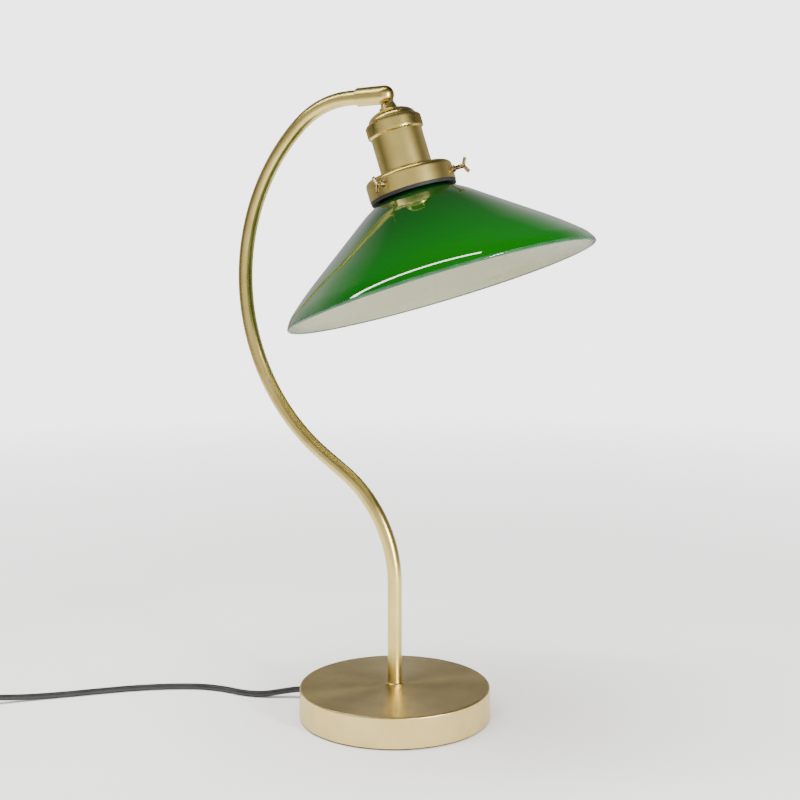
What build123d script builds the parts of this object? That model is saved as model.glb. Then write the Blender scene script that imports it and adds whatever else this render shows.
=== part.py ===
"""Banker desk lamp: weighted brass base, curved arm, tilting lampholder and green glass shade.

The frame's origin is the centre of the base's underside, +Z is up, and +X is the way the
head looks. The arm lies in the XZ plane. Everything is in millimetres.
"""
import math
import os

from build123d import *

# ---------------------------------------------------------------- driving dimensions
base_diameter = 160.0
base_height = 27.0            # floor to the flat top of the cover
cover_wall = 1.2
cover_lift = 1.5              # gap between the floor and the cover's lower edge
cover_flare = 0.5             # the side leans out by this much at its lower edge
cover_edge_round = 1.6

pad_thickness = 2.4
pad_inset = 1.0               # pad's edge, measured in from the cover's side
plate_thickness = 1.2
plate_gap = 0.4               # plate's edge to the inside of the cover
weight_thickness = 13.5
weight_ring_width = 12.0      # rim of the weight that stands on the bottom plate
weight_edge = 2.0             # bevel on the weight's top edge
nut_recess_radius = 14.0
nut_recess_depth = 6.5
plate_screw_radius = 1.4
plate_screw_head_radius = 2.9
plate_screw_length = 8.0

tube_diameter = 12.0
tube_wall = 1.0
foot_straight_top = 114.2     # height where the arm starts to lean back
lean_radius = 107.5
lean_angle = 56.9
middle_straight = 23.4
bow_radius = 175.1
bow_angle = 104.8
crook_radius = 77.1
crook_angle = 39.1
crook_straight = 33.6         # straight stretch that ends at the hinge's centre

foot_collar_wall = 1.3        # collar's edge, measured out from the tube
foot_collar_height = 2.8
collar_chamfer = 0.7
nipple_wall = 1.45
nipple_in_tube = 18.0
nut_wall = 2.05               # nipple to the middle of a flat
nut_height = 4.0
washer_thickness = 0.9

knuckle_wall = 1.5            # knuckle's side, measured out from the tube
knuckle_length = 25.5         # rear edge to the hinge's centre
knuckle_socket_depth = 15.0
hinge_pin_diameter = 4.0
hinge_slot_width = 5.0
tongue_half_width = 5.0

head_tilt = 18.9              # lean of the head's axis from straight down
neck_gap = 0.8                # knuckle's round end to the top of the neck
neck_top_radius = 5.9
neck_height = 4.5
neck_foot_radius = 7.2
stem_diameter = 8.0
stem_end = 21.5
cap_wall = 1.3
cap_edge_station = 21.2
cap_skirt_end = 28.0
ring_top = 21.4               # stations are measured below the hinge, along the head's axis
ring_bottom = 33.3
ring_diameter = 46.0
ring_chamfer = 1.2
ring_bore_radius = 19.9
shell_diameter = 41.9
shell_wall = 1.2
shell_shoulder = 62.3         # where the shell sits on the gallery
shell_mouth = 75.0
gallery_diameter = 71.2
gallery_wall = 1.2
gallery_shoulder_drop = 2.4   # fall of the gallery's roof from its hole to its edge
gallery_corner = 4.2
gallery_bottom = 81.0
gasket_thickness = 2.6

screw_station = 73.3
screw_azimuths = (23.0, 143.0, 263.0)
screw_shank_diameter = 3.9
screw_travel = 5.0
screw_head_reach = 8.4        # from the gallery's side to the root of the wings
wing_length = 5.4
wing_width = 2.6
wing_thickness = 1.7
wing_sweep = 62.0             # angle between a wing and the screw's axis
bush_radius = 2.9
bush_stand_off = 1.6

glass_thickness = 3.4
casing_thickness = 1.4        # green outer layer of the glass
fitter_radius = 28.5          # neck of the glass inside the gallery
fitter_top = 67.0
fitter_lip = 2.0
fitter_lip_height = 3.3
cone_start = (33.0, 83.9)     # radius and station where the glass cone begins
cone_slope = 1.36             # growth of radius per millimetre of station
cone_end_radius = 95.4
shoulder_end = (120.65, 150.4)
shade_rim_radius = 127.4
shade_rim_station = 159.6

socket_radius = 13.35         # clear radius of the E27 screw shell
socket_length = 22.0
socket_wall = 0.5
socket_mouth = 72.0
insert_top = 36.0

cord_diameter = 5.2
core_diameter = 2.2
core_spread = 1.25            # each core's distance from the middle of the arm
cord_exit_height = 8.5
cord_rest = cord_diameter / 2 + 0.05

switch_length = 62.0
switch_width = 27.0
switch_height = 14.0
switch_wall = 2.0
switch_heading = 226.0        # direction in which the cord runs through the switch
relief_length = 20.0

coil_pitch = cord_diameter + 0.1
coil_middle_radius = 31.0
coil_columns = 3
coil_layers = 2
coil_lift = 1.0               # the tie passes under the coil here
tie_width = 8.0
tie_thickness = 0.7

plug_length = 36.0
plug_width = 26.0
plug_height = 14.0
pin_diameter = 4.0
pin_length = 19.0
pin_spacing = 19.0

fit_gap = 0.05                # threads and seated fits within one body
running_gap = 0.05            # radial clearance of pins and shanks that move
clear_gap = 0.3               # parts that move past each other

# ---------------------------------------------------------------- frames worked out from them
base_radius = base_diameter / 2
tube_radius = tube_diameter / 2
tube_bore = tube_radius - tube_wall
nipple_diameter = 2 * (tube_bore - fit_gap)
nipple_bore = nipple_diameter - 2 * nipple_wall
nut_across_flats = nipple_diameter + 2 * nut_wall
knuckle_radius = tube_radius + knuckle_wall
neck_top = knuckle_radius + neck_gap
neck_foot = neck_top + neck_height
shell_radius = shell_diameter / 2
gallery_radius = gallery_diameter / 2
cord_radius = cord_diameter / 2
lead_bend = 2.5 * core_diameter
on_floor = (Align.CENTER, Align.CENTER, Align.MIN)
pieces = {}


def keep(node, part):
    """Label a finished piece and put it with the others that are written at the end."""
    part.part.label = node
    pieces[node] = part.part


def outline(points):
    """A closed polygon, at its own coordinates, in the sketch that is open."""
    Polygon(*points, align=None)


def arm_line(offset, start, end_trim, run_from=None):
    """The arm's middle line, from a start height to the hinge less a trim, moved along Y.

    With run_from it comes level from that place on X first and turns up into the arm.
    """
    with BuildLine(Plane.XZ.offset(-offset)) as line:
        foot_start = (0, start)
        if run_from is not None:
            run_in = Line((run_from, start), (-lead_bend, start))
            turn_up = JernArc(run_in @ 1, (1, 0), lead_bend, 90)
            foot_start = turn_up @ 1
        foot = Line(foot_start, (0, foot_straight_top))
        lean = JernArc(foot @ 1, (0, 1), lean_radius, lean_angle)
        heading = 90 + lean_angle
        middle = PolarLine(lean @ 1, middle_straight, heading)
        bow = JernArc(middle @ 1, middle % 1, bow_radius, -bow_angle)
        crook = JernArc(bow @ 1, bow % 1, crook_radius, -crook_angle)
        PolarLine(crook @ 1, crook_straight - end_trim, heading - bow_angle - crook_angle)
    return line


full_arm = arm_line(0, base_height, 0)
hinge = full_arm.wires()[0] @ 1
arm_rise = 90 + lean_angle - bow_angle - crook_angle
arm_forward = Vector(math.cos(math.radians(arm_rise)), 0, math.sin(math.radians(arm_rise)))
knuckle_side = Plane(origin=hinge, x_dir=arm_forward, z_dir=(0, -1, 0))
knuckle_axis = Axis(hinge, arm_forward)

tilt = math.radians(head_tilt)
head_down = Vector(math.sin(tilt), 0, -math.cos(tilt))
head_out = Vector(math.cos(tilt), 0, math.sin(tilt))
head_side = Plane(origin=hinge, x_dir=head_out, z_dir=(0, 1, 0))
head_axis = Axis(hinge, head_down)
print("hinge at", round(hinge.X, 2), round(hinge.Z, 2), "arm rises", round(arm_rise, 2))


def across_head(station):
    """A plane square to the head's axis, facing down it."""
    return Plane(origin=hinge + head_down * station, x_dir=head_out, z_dir=head_down)


# ---------------------------------------------------------------- base
cover_side_bottom = base_radius + cover_flare
weight_top = base_height - cover_wall - fit_gap
weight_roof = weight_top - weight_thickness
plate_top = pad_thickness + plate_thickness
weight_radius = base_radius - cover_wall - plate_gap
recess_top = weight_roof + nut_recess_depth
exit_plane = Plane(origin=(-base_radius, 0, cord_exit_height), x_dir=(0, 1, 0), z_dir=(-1, 0, 0))
grommet_hole_radius = cord_radius + 1.4
grommet_flange = cord_radius + 3.0
grommet_stand = 2.0
grommet_tail = cover_wall + 3.0
grommet_foot = cover_flare + 0.1

with BuildPart() as base_cover:
    with BuildSketch(Plane.XZ):
        outline([
            (0, base_height),
            (base_radius, base_height),
            (cover_side_bottom, cover_lift),
            (cover_side_bottom - cover_wall, cover_lift),
            (base_radius - cover_wall, base_height - cover_wall),
            (0, base_height - cover_wall),
        ])
    revolve(axis=Axis.Z)
    fillet(base_cover.edges().filter_by(GeomType.CIRCLE).group_by(Axis.Z)[-1], cover_edge_round)
    with Locations((0, 0, base_height)):
        Hole(nipple_diameter / 2 + fit_gap)
    with BuildSketch(exit_plane.offset(-6)):
        Circle(grommet_hole_radius)
    extrude(amount=12, mode=Mode.SUBTRACT)
keep("base_cover", base_cover)

with BuildPart() as base_weight:
    with BuildSketch(Plane.XZ):
        outline([
            (nipple_diameter / 2 + 0.15, weight_top),
            (weight_radius - weight_edge, weight_top),
            (weight_radius, weight_top - weight_edge),
            (weight_radius, plate_top + fit_gap),
            (weight_radius - weight_ring_width, plate_top + fit_gap),
            (weight_radius - weight_ring_width, weight_roof),
            (nut_recess_radius, weight_roof),
            (nut_recess_radius, recess_top),
            (nipple_diameter / 2 + 0.15, recess_top),
        ])
    revolve(axis=Axis.Z)
    channel_height = cord_exit_height + grommet_flange + 1 - plate_top
    with Locations((-weight_radius + weight_ring_width / 2, 0, plate_top + channel_height / 2)):
        Box(weight_ring_width + 4, 2 * grommet_flange + 2, channel_height, mode=Mode.SUBTRACT)
    with Locations((0, 0, plate_top + fit_gap)):
        with PolarLocations(weight_radius - weight_ring_width / 2, 3):
            Cylinder(plate_screw_radius + 0.1, plate_screw_length, align=on_floor, mode=Mode.SUBTRACT)
keep("base_weight", base_weight)

with BuildPart() as bottom_plate:
    with BuildSketch(Plane.XY.offset(pad_thickness)):
        Circle(weight_radius)
    extrude(amount=plate_thickness)
    with Locations((0, 0, pad_thickness)):
        with PolarLocations(weight_radius - weight_ring_width / 2, 3):
            Cone(plate_screw_head_radius + 0.1, plate_screw_radius + 0.2, plate_thickness, align=on_floor,
                 mode=Mode.SUBTRACT)
keep("bottom_plate", bottom_plate)

with BuildPart() as plate_screws:
    with Locations((0, 0, pad_thickness + fit_gap)):
        with PolarLocations(weight_radius - weight_ring_width / 2, 3):
            Cone(plate_screw_head_radius, plate_screw_radius, plate_thickness, align=on_floor)
            Cylinder(plate_screw_radius, plate_screw_length, align=on_floor)
keep("plate_screws", plate_screws)

with BuildPart() as base_pad:
    with BuildSketch(Plane.XY):
        Circle(base_radius - pad_inset)
    extrude(amount=pad_thickness)
    chamfer(base_pad.edges().group_by(Axis.Z)[0], 0.4)
keep("base_pad", base_pad)

with BuildPart() as foot_nipple:
    nipple_bottom = recess_top - nut_height - washer_thickness - 1
    with BuildSketch(Plane.XY.offset(nipple_bottom)):
        Circle(nipple_diameter / 2)
        Circle(nipple_bore / 2, mode=Mode.SUBTRACT)
    extrude(amount=base_height + nipple_in_tube - nipple_bottom)
keep("foot_nipple", foot_nipple)

with BuildPart() as lock_washer:
    with BuildSketch(Plane.XY.offset(recess_top - washer_thickness - fit_gap)):
        Circle(nut_across_flats / 2 + 1.5)
        with PolarLocations(nut_across_flats / 2 + 1.5, 12):
            Rectangle(1.6, 1.0, mode=Mode.SUBTRACT)
        Circle(nipple_diameter / 2 + fit_gap, mode=Mode.SUBTRACT)
    extrude(amount=washer_thickness)
keep("lock_washer", lock_washer)

with BuildPart() as foot_nut:
    with BuildSketch(Plane.XY.offset(recess_top - washer_thickness - nut_height - 2 * fit_gap)):
        RegularPolygon(nut_across_flats / 2, 6, major_radius=False)
        Circle(nipple_diameter / 2 + fit_gap, mode=Mode.SUBTRACT)
    extrude(amount=nut_height)
keep("foot_nut", foot_nut)

with BuildPart() as foot_collar:
    with BuildSketch(Plane.XY.offset(base_height)):
        Circle(tube_radius + foot_collar_wall)
        Circle(tube_radius + fit_gap, mode=Mode.SUBTRACT)
    extrude(amount=foot_collar_height)
    collar_top = foot_collar.edges().filter_by(GeomType.CIRCLE).group_by(Axis.Z)[-1]
    chamfer(collar_top.sort_by(SortBy.RADIUS)[-1], collar_chamfer)
keep("foot_collar", foot_collar)

# ---------------------------------------------------------------- cord entry, inside the base
with BuildPart() as cord_grommet:
    with BuildSketch(exit_plane.offset(-grommet_tail)):
        Circle(grommet_hole_radius - fit_gap)
        Circle(cord_radius + fit_gap, mode=Mode.SUBTRACT)
    extrude(amount=grommet_tail + grommet_stand)
    with BuildSketch(exit_plane.offset(grommet_foot)):
        Circle(grommet_flange)
        Circle(cord_radius + fit_gap, mode=Mode.SUBTRACT)
    extrude(amount=grommet_stand - grommet_foot, taper=20)
    with BuildSketch(exit_plane.offset(-grommet_tail)):
        Circle(grommet_flange - 1.0)
        Circle(cord_radius + fit_gap, mode=Mode.SUBTRACT)
    extrude(amount=grommet_tail - cover_wall - 0.8)
keep("cord_grommet", cord_grommet)

clamp_x = -48.0
clamp_length = 10.0
clamp_width = 24.0
clamp_bottom = plate_top + 0.8
clamp_screw_spacing = 15.0
clamp_screw_radius = 1.5
clamp_head_radius = 2.9
clamp_head_height = 1.9
with BuildPart() as cord_clamp:
    with Locations((clamp_x, 0, clamp_bottom)):
        Box(clamp_length, clamp_width, weight_roof - fit_gap - clamp_bottom,
            align=(Align.CENTER, Align.CENTER, Align.MIN))
    fillet(cord_clamp.edges().filter_by(Axis.Z), 2)
    with BuildSketch(Plane.YZ.offset(clamp_x - clamp_length)):
        with Locations((0, cord_exit_height)):
            Circle(cord_radius + fit_gap)
    extrude(amount=2 * clamp_length, mode=Mode.SUBTRACT)
    with Locations((clamp_x, 0, clamp_bottom)):
        with GridLocations(0, clamp_screw_spacing, 1, 2):
            Cylinder(clamp_head_radius + 0.2, clamp_head_height + 0.3, align=on_floor, mode=Mode.SUBTRACT)
            Cylinder(clamp_screw_radius + 0.1, 2 * base_height, mode=Mode.SUBTRACT)
keep("cord_clamp", cord_clamp)

with BuildPart() as clamp_screws:
    with Locations((clamp_x, 0, clamp_bottom + 0.2)):
        with GridLocations(0, clamp_screw_spacing, 1, 2):
            Cylinder(clamp_head_radius, clamp_head_height, align=on_floor)
            Cylinder(clamp_screw_radius, weight_roof - clamp_bottom - 0.3, align=on_floor)
keep("clamp_screws", clamp_screws)

sheath_end = clamp_x + clamp_length / 2 + 6
with BuildPart() as cord_inside:
    with BuildSketch(exit_plane.offset(grommet_stand)):
        Circle(cord_radius)
    extrude(amount=-(base_radius + grommet_stand + sheath_end))
keep("cord_inside", cord_inside)

# ---------------------------------------------------------------- arm
with BuildPart() as arm_tube:
    tube_path = arm_line(0, base_height, knuckle_length - knuckle_socket_depth + 0.3)
    with BuildSketch(Plane.XY.offset(base_height)):
        Circle(tube_radius)
        Circle(tube_bore, mode=Mode.SUBTRACT)
    sweep(path=tube_path.wires()[0])
keep("arm_tube", arm_tube)

with BuildPart() as arm_leads:
    for side in (-core_spread, core_spread):
        lead_path = arm_line(side, cord_exit_height, hinge_slot_width + 3, run_from=sheath_end)
        with BuildSketch(Plane(origin=(sheath_end, side, cord_exit_height), z_dir=(1, 0, 0))):
            Circle(core_diameter / 2)
        sweep(path=lead_path.wires()[0])
keep("arm_leads", arm_leads)

# ---------------------------------------------------------------- knuckle and hinge
slot_reach = tongue_half_width + 0.4
with BuildPart() as knuckle:
    with BuildSketch(knuckle_side):
        with BuildLine():
            back = Line((-knuckle_length, 0), (-knuckle_length, knuckle_radius - 0.8))
            bevel = Line(back @ 1, (-knuckle_length + 0.8, knuckle_radius))
            top = Line(bevel @ 1, (0, knuckle_radius))
            dome = JernArc(top @ 1, (1, 0), knuckle_radius, -90)
            Line(dome @ 1, back @ 0)
        make_face()
    revolve(axis=knuckle_axis)
    with BuildSketch(Plane(origin=hinge - arm_forward * knuckle_length, z_dir=arm_forward)):
        Circle(tube_radius + fit_gap)
    extrude(amount=knuckle_socket_depth, mode=Mode.SUBTRACT)
    with BuildSketch(Plane(origin=hinge - arm_forward * knuckle_length, z_dir=arm_forward)):
        Circle(nipple_bore / 2)
    extrude(amount=knuckle_length, mode=Mode.SUBTRACT)
    with BuildSketch(knuckle_side):
        Circle(slot_reach)
        with Locations((0, -knuckle_radius)):
            Rectangle(2 * slot_reach, 2 * knuckle_radius)
        with Locations((knuckle_radius, -knuckle_radius + slot_reach / 2)):
            Rectangle(2 * knuckle_radius, 2 * knuckle_radius + slot_reach)
    extrude(amount=hinge_slot_width / 2, both=True, mode=Mode.SUBTRACT)
    with BuildSketch(knuckle_side):
        Circle(hinge_pin_diameter / 2)
    extrude(amount=knuckle_radius, both=True, mode=Mode.SUBTRACT)
keep("knuckle", knuckle)

with BuildPart() as hinge_pin:
    with BuildSketch(knuckle_side):
        Circle(hinge_pin_diameter / 2 - 0.01)
    extrude(amount=math.sqrt(knuckle_radius**2 - (hinge_pin_diameter / 2) ** 2), both=True)
    fillet(hinge_pin.edges().filter_by(GeomType.CIRCLE), 0.25)
keep("hinge_pin", hinge_pin)

with BuildPart() as hinge_tongue:
    with BuildSketch(head_side):
        Circle(tongue_half_width)
        with Locations((0, neck_top / 2)):
            Rectangle(2 * tongue_half_width, neck_top)
    extrude(amount=hinge_slot_width / 2 - clear_gap, both=True)
    with BuildSketch(across_head(neck_top - 0.5)):
        Circle(stem_diameter / 2)
    extrude(amount=stem_end - neck_top + 0.5)
    with BuildSketch(across_head(stem_end)):
        Circle(stem_diameter / 2 - 1.4)
    extrude(amount=-(stem_end - neck_top + 1), mode=Mode.SUBTRACT)
    with BuildSketch(head_side):
        Circle(hinge_pin_diameter / 2 + running_gap)
    extrude(amount=knuckle_radius, both=True, mode=Mode.SUBTRACT)
keep("hinge_tongue", hinge_tongue)

# ---------------------------------------------------------------- lampholder's outer pieces
cap_edge_radius = ring_bore_radius - 0.3
cap_rise = cap_edge_station - neck_foot + 0.9
cap_top_angle = math.radians(68)
skirt_radius = ring_bore_radius - fit_gap


def cap_curve(inset):
    """Half of the cap's dome as an ellipse quarter from its neck to its edge."""
    points = []
    for step in range(7):
        angle = cap_top_angle * (1 - step / 6)
        station = cap_edge_station - (cap_rise - inset) * math.sin(angle)
        points.append(((cap_edge_radius - inset) * math.cos(angle), station))
    return points


cap_bore = stem_diameter / 2 + fit_gap
grub_station = 10.6
grub_plane = Plane(origin=hinge + head_down * grub_station, x_dir=head_down, z_dir=-head_out)
grub_radius = 1.5
with BuildPart() as holder_cap:
    with BuildSketch(head_side):
        with BuildLine():
            outer = Spline(*cap_curve(0))
            Polyline(
                outer @ 1,
                (skirt_radius, cap_edge_station + 0.3),
                (skirt_radius, cap_skirt_end),
                (skirt_radius - cap_wall, cap_skirt_end),
                (cap_edge_radius - cap_wall, cap_edge_station),
            )
            inner = Spline(*reversed(cap_curve(cap_wall)))
            Polyline(
                inner @ 1,
                (cap_bore, (inner @ 1).Y),
                (cap_bore, neck_top),
                (neck_top_radius, neck_top),
                (neck_foot_radius, neck_foot),
                outer @ 0,
            )
        make_face()
    revolve(axis=head_axis)
    with BuildSketch(grub_plane):
        Circle(grub_radius + fit_gap)
    extrude(amount=2 * knuckle_radius, mode=Mode.SUBTRACT)
keep("holder_cap", holder_cap)

stem_nut_top = cap_edge_station - (cap_rise - cap_wall) * math.sin(cap_top_angle) + fit_gap
stem_nut_flats = 12.0
stem_nut_height = 3.5
with BuildPart() as stem_nut:
    with BuildSketch(across_head(stem_nut_top)):
        RegularPolygon(stem_nut_flats / 2, 6, major_radius=False)
        Circle(stem_diameter / 2 + fit_gap, mode=Mode.SUBTRACT)
    extrude(amount=stem_nut_height)
keep("stem_nut", stem_nut)

grub_length = 4.0
grub_tip = stem_diameter / 2 + 2 * fit_gap
with BuildPart() as neck_grub_screw:
    with BuildSketch(grub_plane.offset(grub_tip)):
        Circle(grub_radius)
    extrude(amount=grub_length)
    with BuildSketch(grub_plane.offset(grub_tip + grub_length)):
        Rectangle(2.2 * grub_radius, 0.6)
    extrude(amount=-0.8, mode=Mode.SUBTRACT)
keep("neck_grub_screw", neck_grub_screw)

with BuildPart() as knurled_ring:
    with BuildSketch(head_side):
        outline([
            (ring_bore_radius, ring_top),
            (ring_diameter / 2 - ring_chamfer, ring_top),
            (ring_diameter / 2, ring_top + ring_chamfer),
            (ring_diameter / 2, ring_bottom - ring_chamfer),
            (ring_diameter / 2 - ring_chamfer, ring_bottom),
            (ring_bore_radius, ring_bottom),
        ])
    revolve(axis=head_axis)
keep("knurled_ring", knurled_ring)

shell_foot = shell_radius - 0.9
with BuildPart() as socket_shell:
    with BuildSketch(head_side):
        outline([
            (skirt_radius, cap_skirt_end + fit_gap),
            (skirt_radius, ring_bottom + fit_gap),
            (shell_radius, ring_bottom + fit_gap),
            (shell_radius, shell_shoulder),
            (shell_foot, shell_shoulder),
            (shell_foot, shell_mouth),
            (shell_foot - shell_wall, shell_mouth),
            (shell_foot - shell_wall, ring_bottom + 2),
            (skirt_radius - shell_wall, ring_bottom + 1),
            (skirt_radius - shell_wall, cap_skirt_end + fit_gap),
        ])
    revolve(axis=head_axis)
keep("socket_shell", socket_shell)


def screw_side(azimuth):
    """Plane with x out along one thumb screw and y down the head's axis."""
    angle = math.radians(azimuth)
    sideways = head_down.cross(head_out)
    out = head_out * math.cos(angle) - sideways * math.sin(angle)
    return Plane(origin=hinge + head_down * screw_station, x_dir=out, z_dir=out.cross(head_down))


gallery_hole = shell_foot + fit_gap
gallery_edge_station = shell_shoulder + gallery_shoulder_drop
with BuildPart() as gallery:
    with BuildSketch(head_side):
        with BuildLine():
            roof = Line(
                (gallery_hole, shell_shoulder + fit_gap),
                (gallery_radius - gallery_corner, gallery_edge_station),
            )
            corner = ThreePointArc(
                roof @ 1,
                (gallery_radius - gallery_corner * 0.26, gallery_edge_station + gallery_corner * 0.34),
                (gallery_radius, gallery_edge_station + gallery_corner * 1.1),
            )
            Polyline(
                corner @ 1,
                (gallery_radius, gallery_bottom),
                (gallery_radius - gallery_wall, gallery_bottom),
                (gallery_radius - gallery_wall, gallery_edge_station + gallery_corner * 1.1),
                (gallery_radius - gallery_corner, gallery_edge_station + gallery_wall),
                (gallery_hole, shell_shoulder + gallery_wall + fit_gap),
                roof @ 0,
            )
        make_face()
    revolve(axis=head_axis)
    for azimuth in screw_azimuths:
        side = screw_side(azimuth)
        with BuildSketch(Plane(origin=side.origin, z_dir=side.x_dir)):
            Circle(bush_radius + 0.02)
        extrude(amount=gallery_radius + 5, mode=Mode.SUBTRACT)
keep("gallery", gallery)

ring_nut_top = shell_shoulder + gallery_wall
ring_nut_radius = shell_foot + 3.6
ring_nut_height = 4.5
with BuildPart() as gallery_ring:
    with BuildSketch(head_side):
        outline([
            (shell_foot + fit_gap, ring_nut_top + 0.3),
            (ring_nut_radius, ring_nut_top + 0.8),
            (ring_nut_radius, ring_nut_top + ring_nut_height),
            (shell_foot + fit_gap, ring_nut_top + ring_nut_height),
        ])
    revolve(axis=head_axis)
    with BuildSketch(across_head(ring_nut_top + 2.5)):
        with PolarLocations(ring_nut_radius, 4):
            Rectangle(2.4, 3.0)
    extrude(amount=ring_nut_height, mode=Mode.SUBTRACT)
keep("gallery_ring", gallery_ring)

with BuildPart() as shade_gasket:
    with BuildSketch(head_side):
        outline([
            (fitter_radius + 0.5, gallery_bottom + fit_gap),
            (gallery_radius - 0.5, gallery_bottom + fit_gap),
            (gallery_radius - 0.5, gallery_bottom + gasket_thickness),
            (cone_start[0], gallery_bottom + gasket_thickness),
            (fitter_radius + 0.5, gallery_bottom + gasket_thickness - 1.6),
        ])
    revolve(axis=head_axis)
keep("shade_gasket", shade_gasket)

# ---------------------------------------------------------------- thumb screws
shank_tip = fitter_radius + clear_gap
wing_root = gallery_radius + screw_head_reach


with BuildPart() as screw_bushes:
    for azimuth in screw_azimuths:
        with BuildSketch(screw_side(azimuth)):
            outline([
                (gallery_radius - gallery_wall - 1.4, screw_shank_diameter / 2 + running_gap),
                (gallery_radius + bush_stand_off, screw_shank_diameter / 2 + running_gap),
                (gallery_radius + bush_stand_off, bush_radius - 0.3),
                (gallery_radius + bush_stand_off - 0.3, bush_radius),
                (gallery_radius - gallery_wall - 1.4, bush_radius),
            ])
        revolve(axis=Axis(screw_side(azimuth).origin, screw_side(azimuth).x_dir))
keep("screw_bushes", screw_bushes)

for number, azimuth in enumerate(screw_azimuths, start=1):
    side = screw_side(azimuth)
    with BuildPart() as thumb_screw:
        with BuildSketch(side):
            outline([
                (shank_tip, 0),
                (shank_tip, screw_shank_diameter / 2 - 0.5),
                (shank_tip + 0.5, screw_shank_diameter / 2),
                (wing_root + 0.8, screw_shank_diameter / 2),
                (wing_root + 1.6, screw_shank_diameter / 2 - 0.8),
                (wing_root + 1.6, 0),
            ])
        revolve(axis=Axis(side.origin, side.x_dir))
        with BuildSketch(side):
            for hand in (-1, 1):
                angle = math.radians(wing_sweep)
                reach = wing_length / 2 * math.cos(angle)
                rise = wing_length / 2 * math.sin(angle)
                with Locations((wing_root + reach, hand * rise)):
                    SlotCenterToCenter(wing_length, wing_width, rotation=hand * wing_sweep)
        extrude(amount=wing_thickness / 2, both=True)
    keep("thumb_screw_" + str(number), thumb_screw)

# ---------------------------------------------------------------- lampholder's inside
socket_outer = socket_radius + socket_wall
insert_radius = shell_radius - shell_wall - 1.6
insert_sleeve = socket_outer + 2.4
insert_floor = socket_mouth - socket_length - 5
terminal_spacing = 20.0
terminal_shank_radius = 1.55
terminal_head_top = insert_top - 1.8
with BuildPart() as porcelain_insert:
    with BuildSketch(head_side):
        outline([
            (0, insert_top),
            (insert_radius, insert_top),
            (insert_radius, insert_top + 9),
            (insert_sleeve, insert_top + 10),
            (insert_sleeve, socket_mouth + 1.5),
            (socket_outer + fit_gap, socket_mouth + 1.5),
            (socket_outer + fit_gap, insert_floor),
            (0, insert_floor),
        ])
    revolve(axis=head_axis)
    with BuildSketch(across_head(insert_top)):
        with GridLocations(terminal_spacing, 0, 2, 1):
            Circle(terminal_shank_radius + fit_gap)
    extrude(amount=insert_floor - insert_top - 2.5, mode=Mode.SUBTRACT)
keep("porcelain_insert", porcelain_insert)

with BuildPart() as screw_shell:
    with BuildSketch(across_head(socket_mouth - socket_length)):
        Circle(socket_outer)
        Circle(socket_radius, mode=Mode.SUBTRACT)
    extrude(amount=socket_length)
keep("screw_shell", screw_shell)

with BuildPart() as centre_contact:
    with BuildSketch(head_side):
        outline([
            (-7, insert_floor + 0.05), (1, insert_floor + 0.05),
            (3, insert_floor + 3.2), (6, insert_floor + 3.6),
            (6, insert_floor + 4.1), (2.7, insert_floor + 3.8),
            (0.7, insert_floor + 0.6), (-7, insert_floor + 0.6),
        ])
    extrude(amount=3, both=True)
keep("centre_contact", centre_contact)

with BuildPart() as terminal_screws:
    with BuildSketch(across_head(terminal_head_top)):
        with GridLocations(terminal_spacing, 0, 2, 1):
            Circle(2.8)
    extrude(amount=insert_top - terminal_head_top - fit_gap)
    with BuildSketch(across_head(terminal_head_top)):
        with GridLocations(terminal_spacing, 0, 2, 1):
            Circle(terminal_shank_radius)
    extrude(amount=8)
    with BuildSketch(across_head(terminal_head_top)):
        with GridLocations(terminal_spacing, 0, 2, 1):
            Rectangle(0.7, 6)
    extrude(amount=0.7, mode=Mode.SUBTRACT)
keep("terminal_screws", terminal_screws)

lead_end = insert_top - 3.2
with BuildPart() as head_leads:
    for hand in (-1, 1):
        first = head_side.from_local_coords((hand * core_spread, neck_top + 3, 0))
        bend = head_side.from_local_coords((hand * core_spread, stem_end + 2.5, 0))
        turn = head_side.from_local_coords((hand * (terminal_spacing / 2 - 1), lead_end - 5.0, 0))
        last = head_side.from_local_coords((hand * terminal_spacing / 2, lead_end, 0))
        with BuildLine() as lead_line:
            FilletPolyline(first, bend, turn, last, radius=2.2)
        with BuildSketch(Plane(origin=first, z_dir=head_down)):
            Circle(core_diameter / 2)
        sweep(path=lead_line.wires()[0])
keep("head_leads", head_leads)

# ---------------------------------------------------------------- glass shade
cone_end = (cone_end_radius, cone_start[1] + (cone_end_radius - cone_start[0]) / cone_slope)


def tangent_arc(start, heading, end):
    """Centre, radius, middle and end heading of the arc that leaves start along heading."""
    chord = Vector(end[0] - start[0], end[1] - start[1])
    along = Vector(*heading).normalized()
    side = Vector(-along.Y, along.X)
    curve = (chord.X * side.X + chord.Y * side.Y) * 2 / (chord.X**2 + chord.Y**2)
    centre = Vector(*start) + side / curve
    first = Vector(*start) - centre
    last = Vector(*end) - centre
    middle = centre + (first + last).normalized() * abs(1 / curve)
    turn = math.copysign(1, curve)
    return centre, abs(1 / curve), middle, Vector(-last.Y * turn, last.X * turn)


def toward(point, centre, distance):
    """A point moved straight towards a centre."""
    return Vector(*point) + (centre - Vector(*point)).normalized() * distance


cone_heading = (cone_slope, 1.0)
upper_centre, upper_radius, upper_middle, upper_heading = tangent_arc(cone_end, cone_heading, shoulder_end)
lower_centre, lower_radius, lower_middle, lower_heading = tangent_arc(
    shoulder_end, (upper_heading.X, upper_heading.Y), (shade_rim_radius, shade_rim_station))
print("shade arcs", round(upper_radius, 1), round(lower_radius, 1))
cone_normal = Vector(-1.0, cone_slope).normalized()


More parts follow.
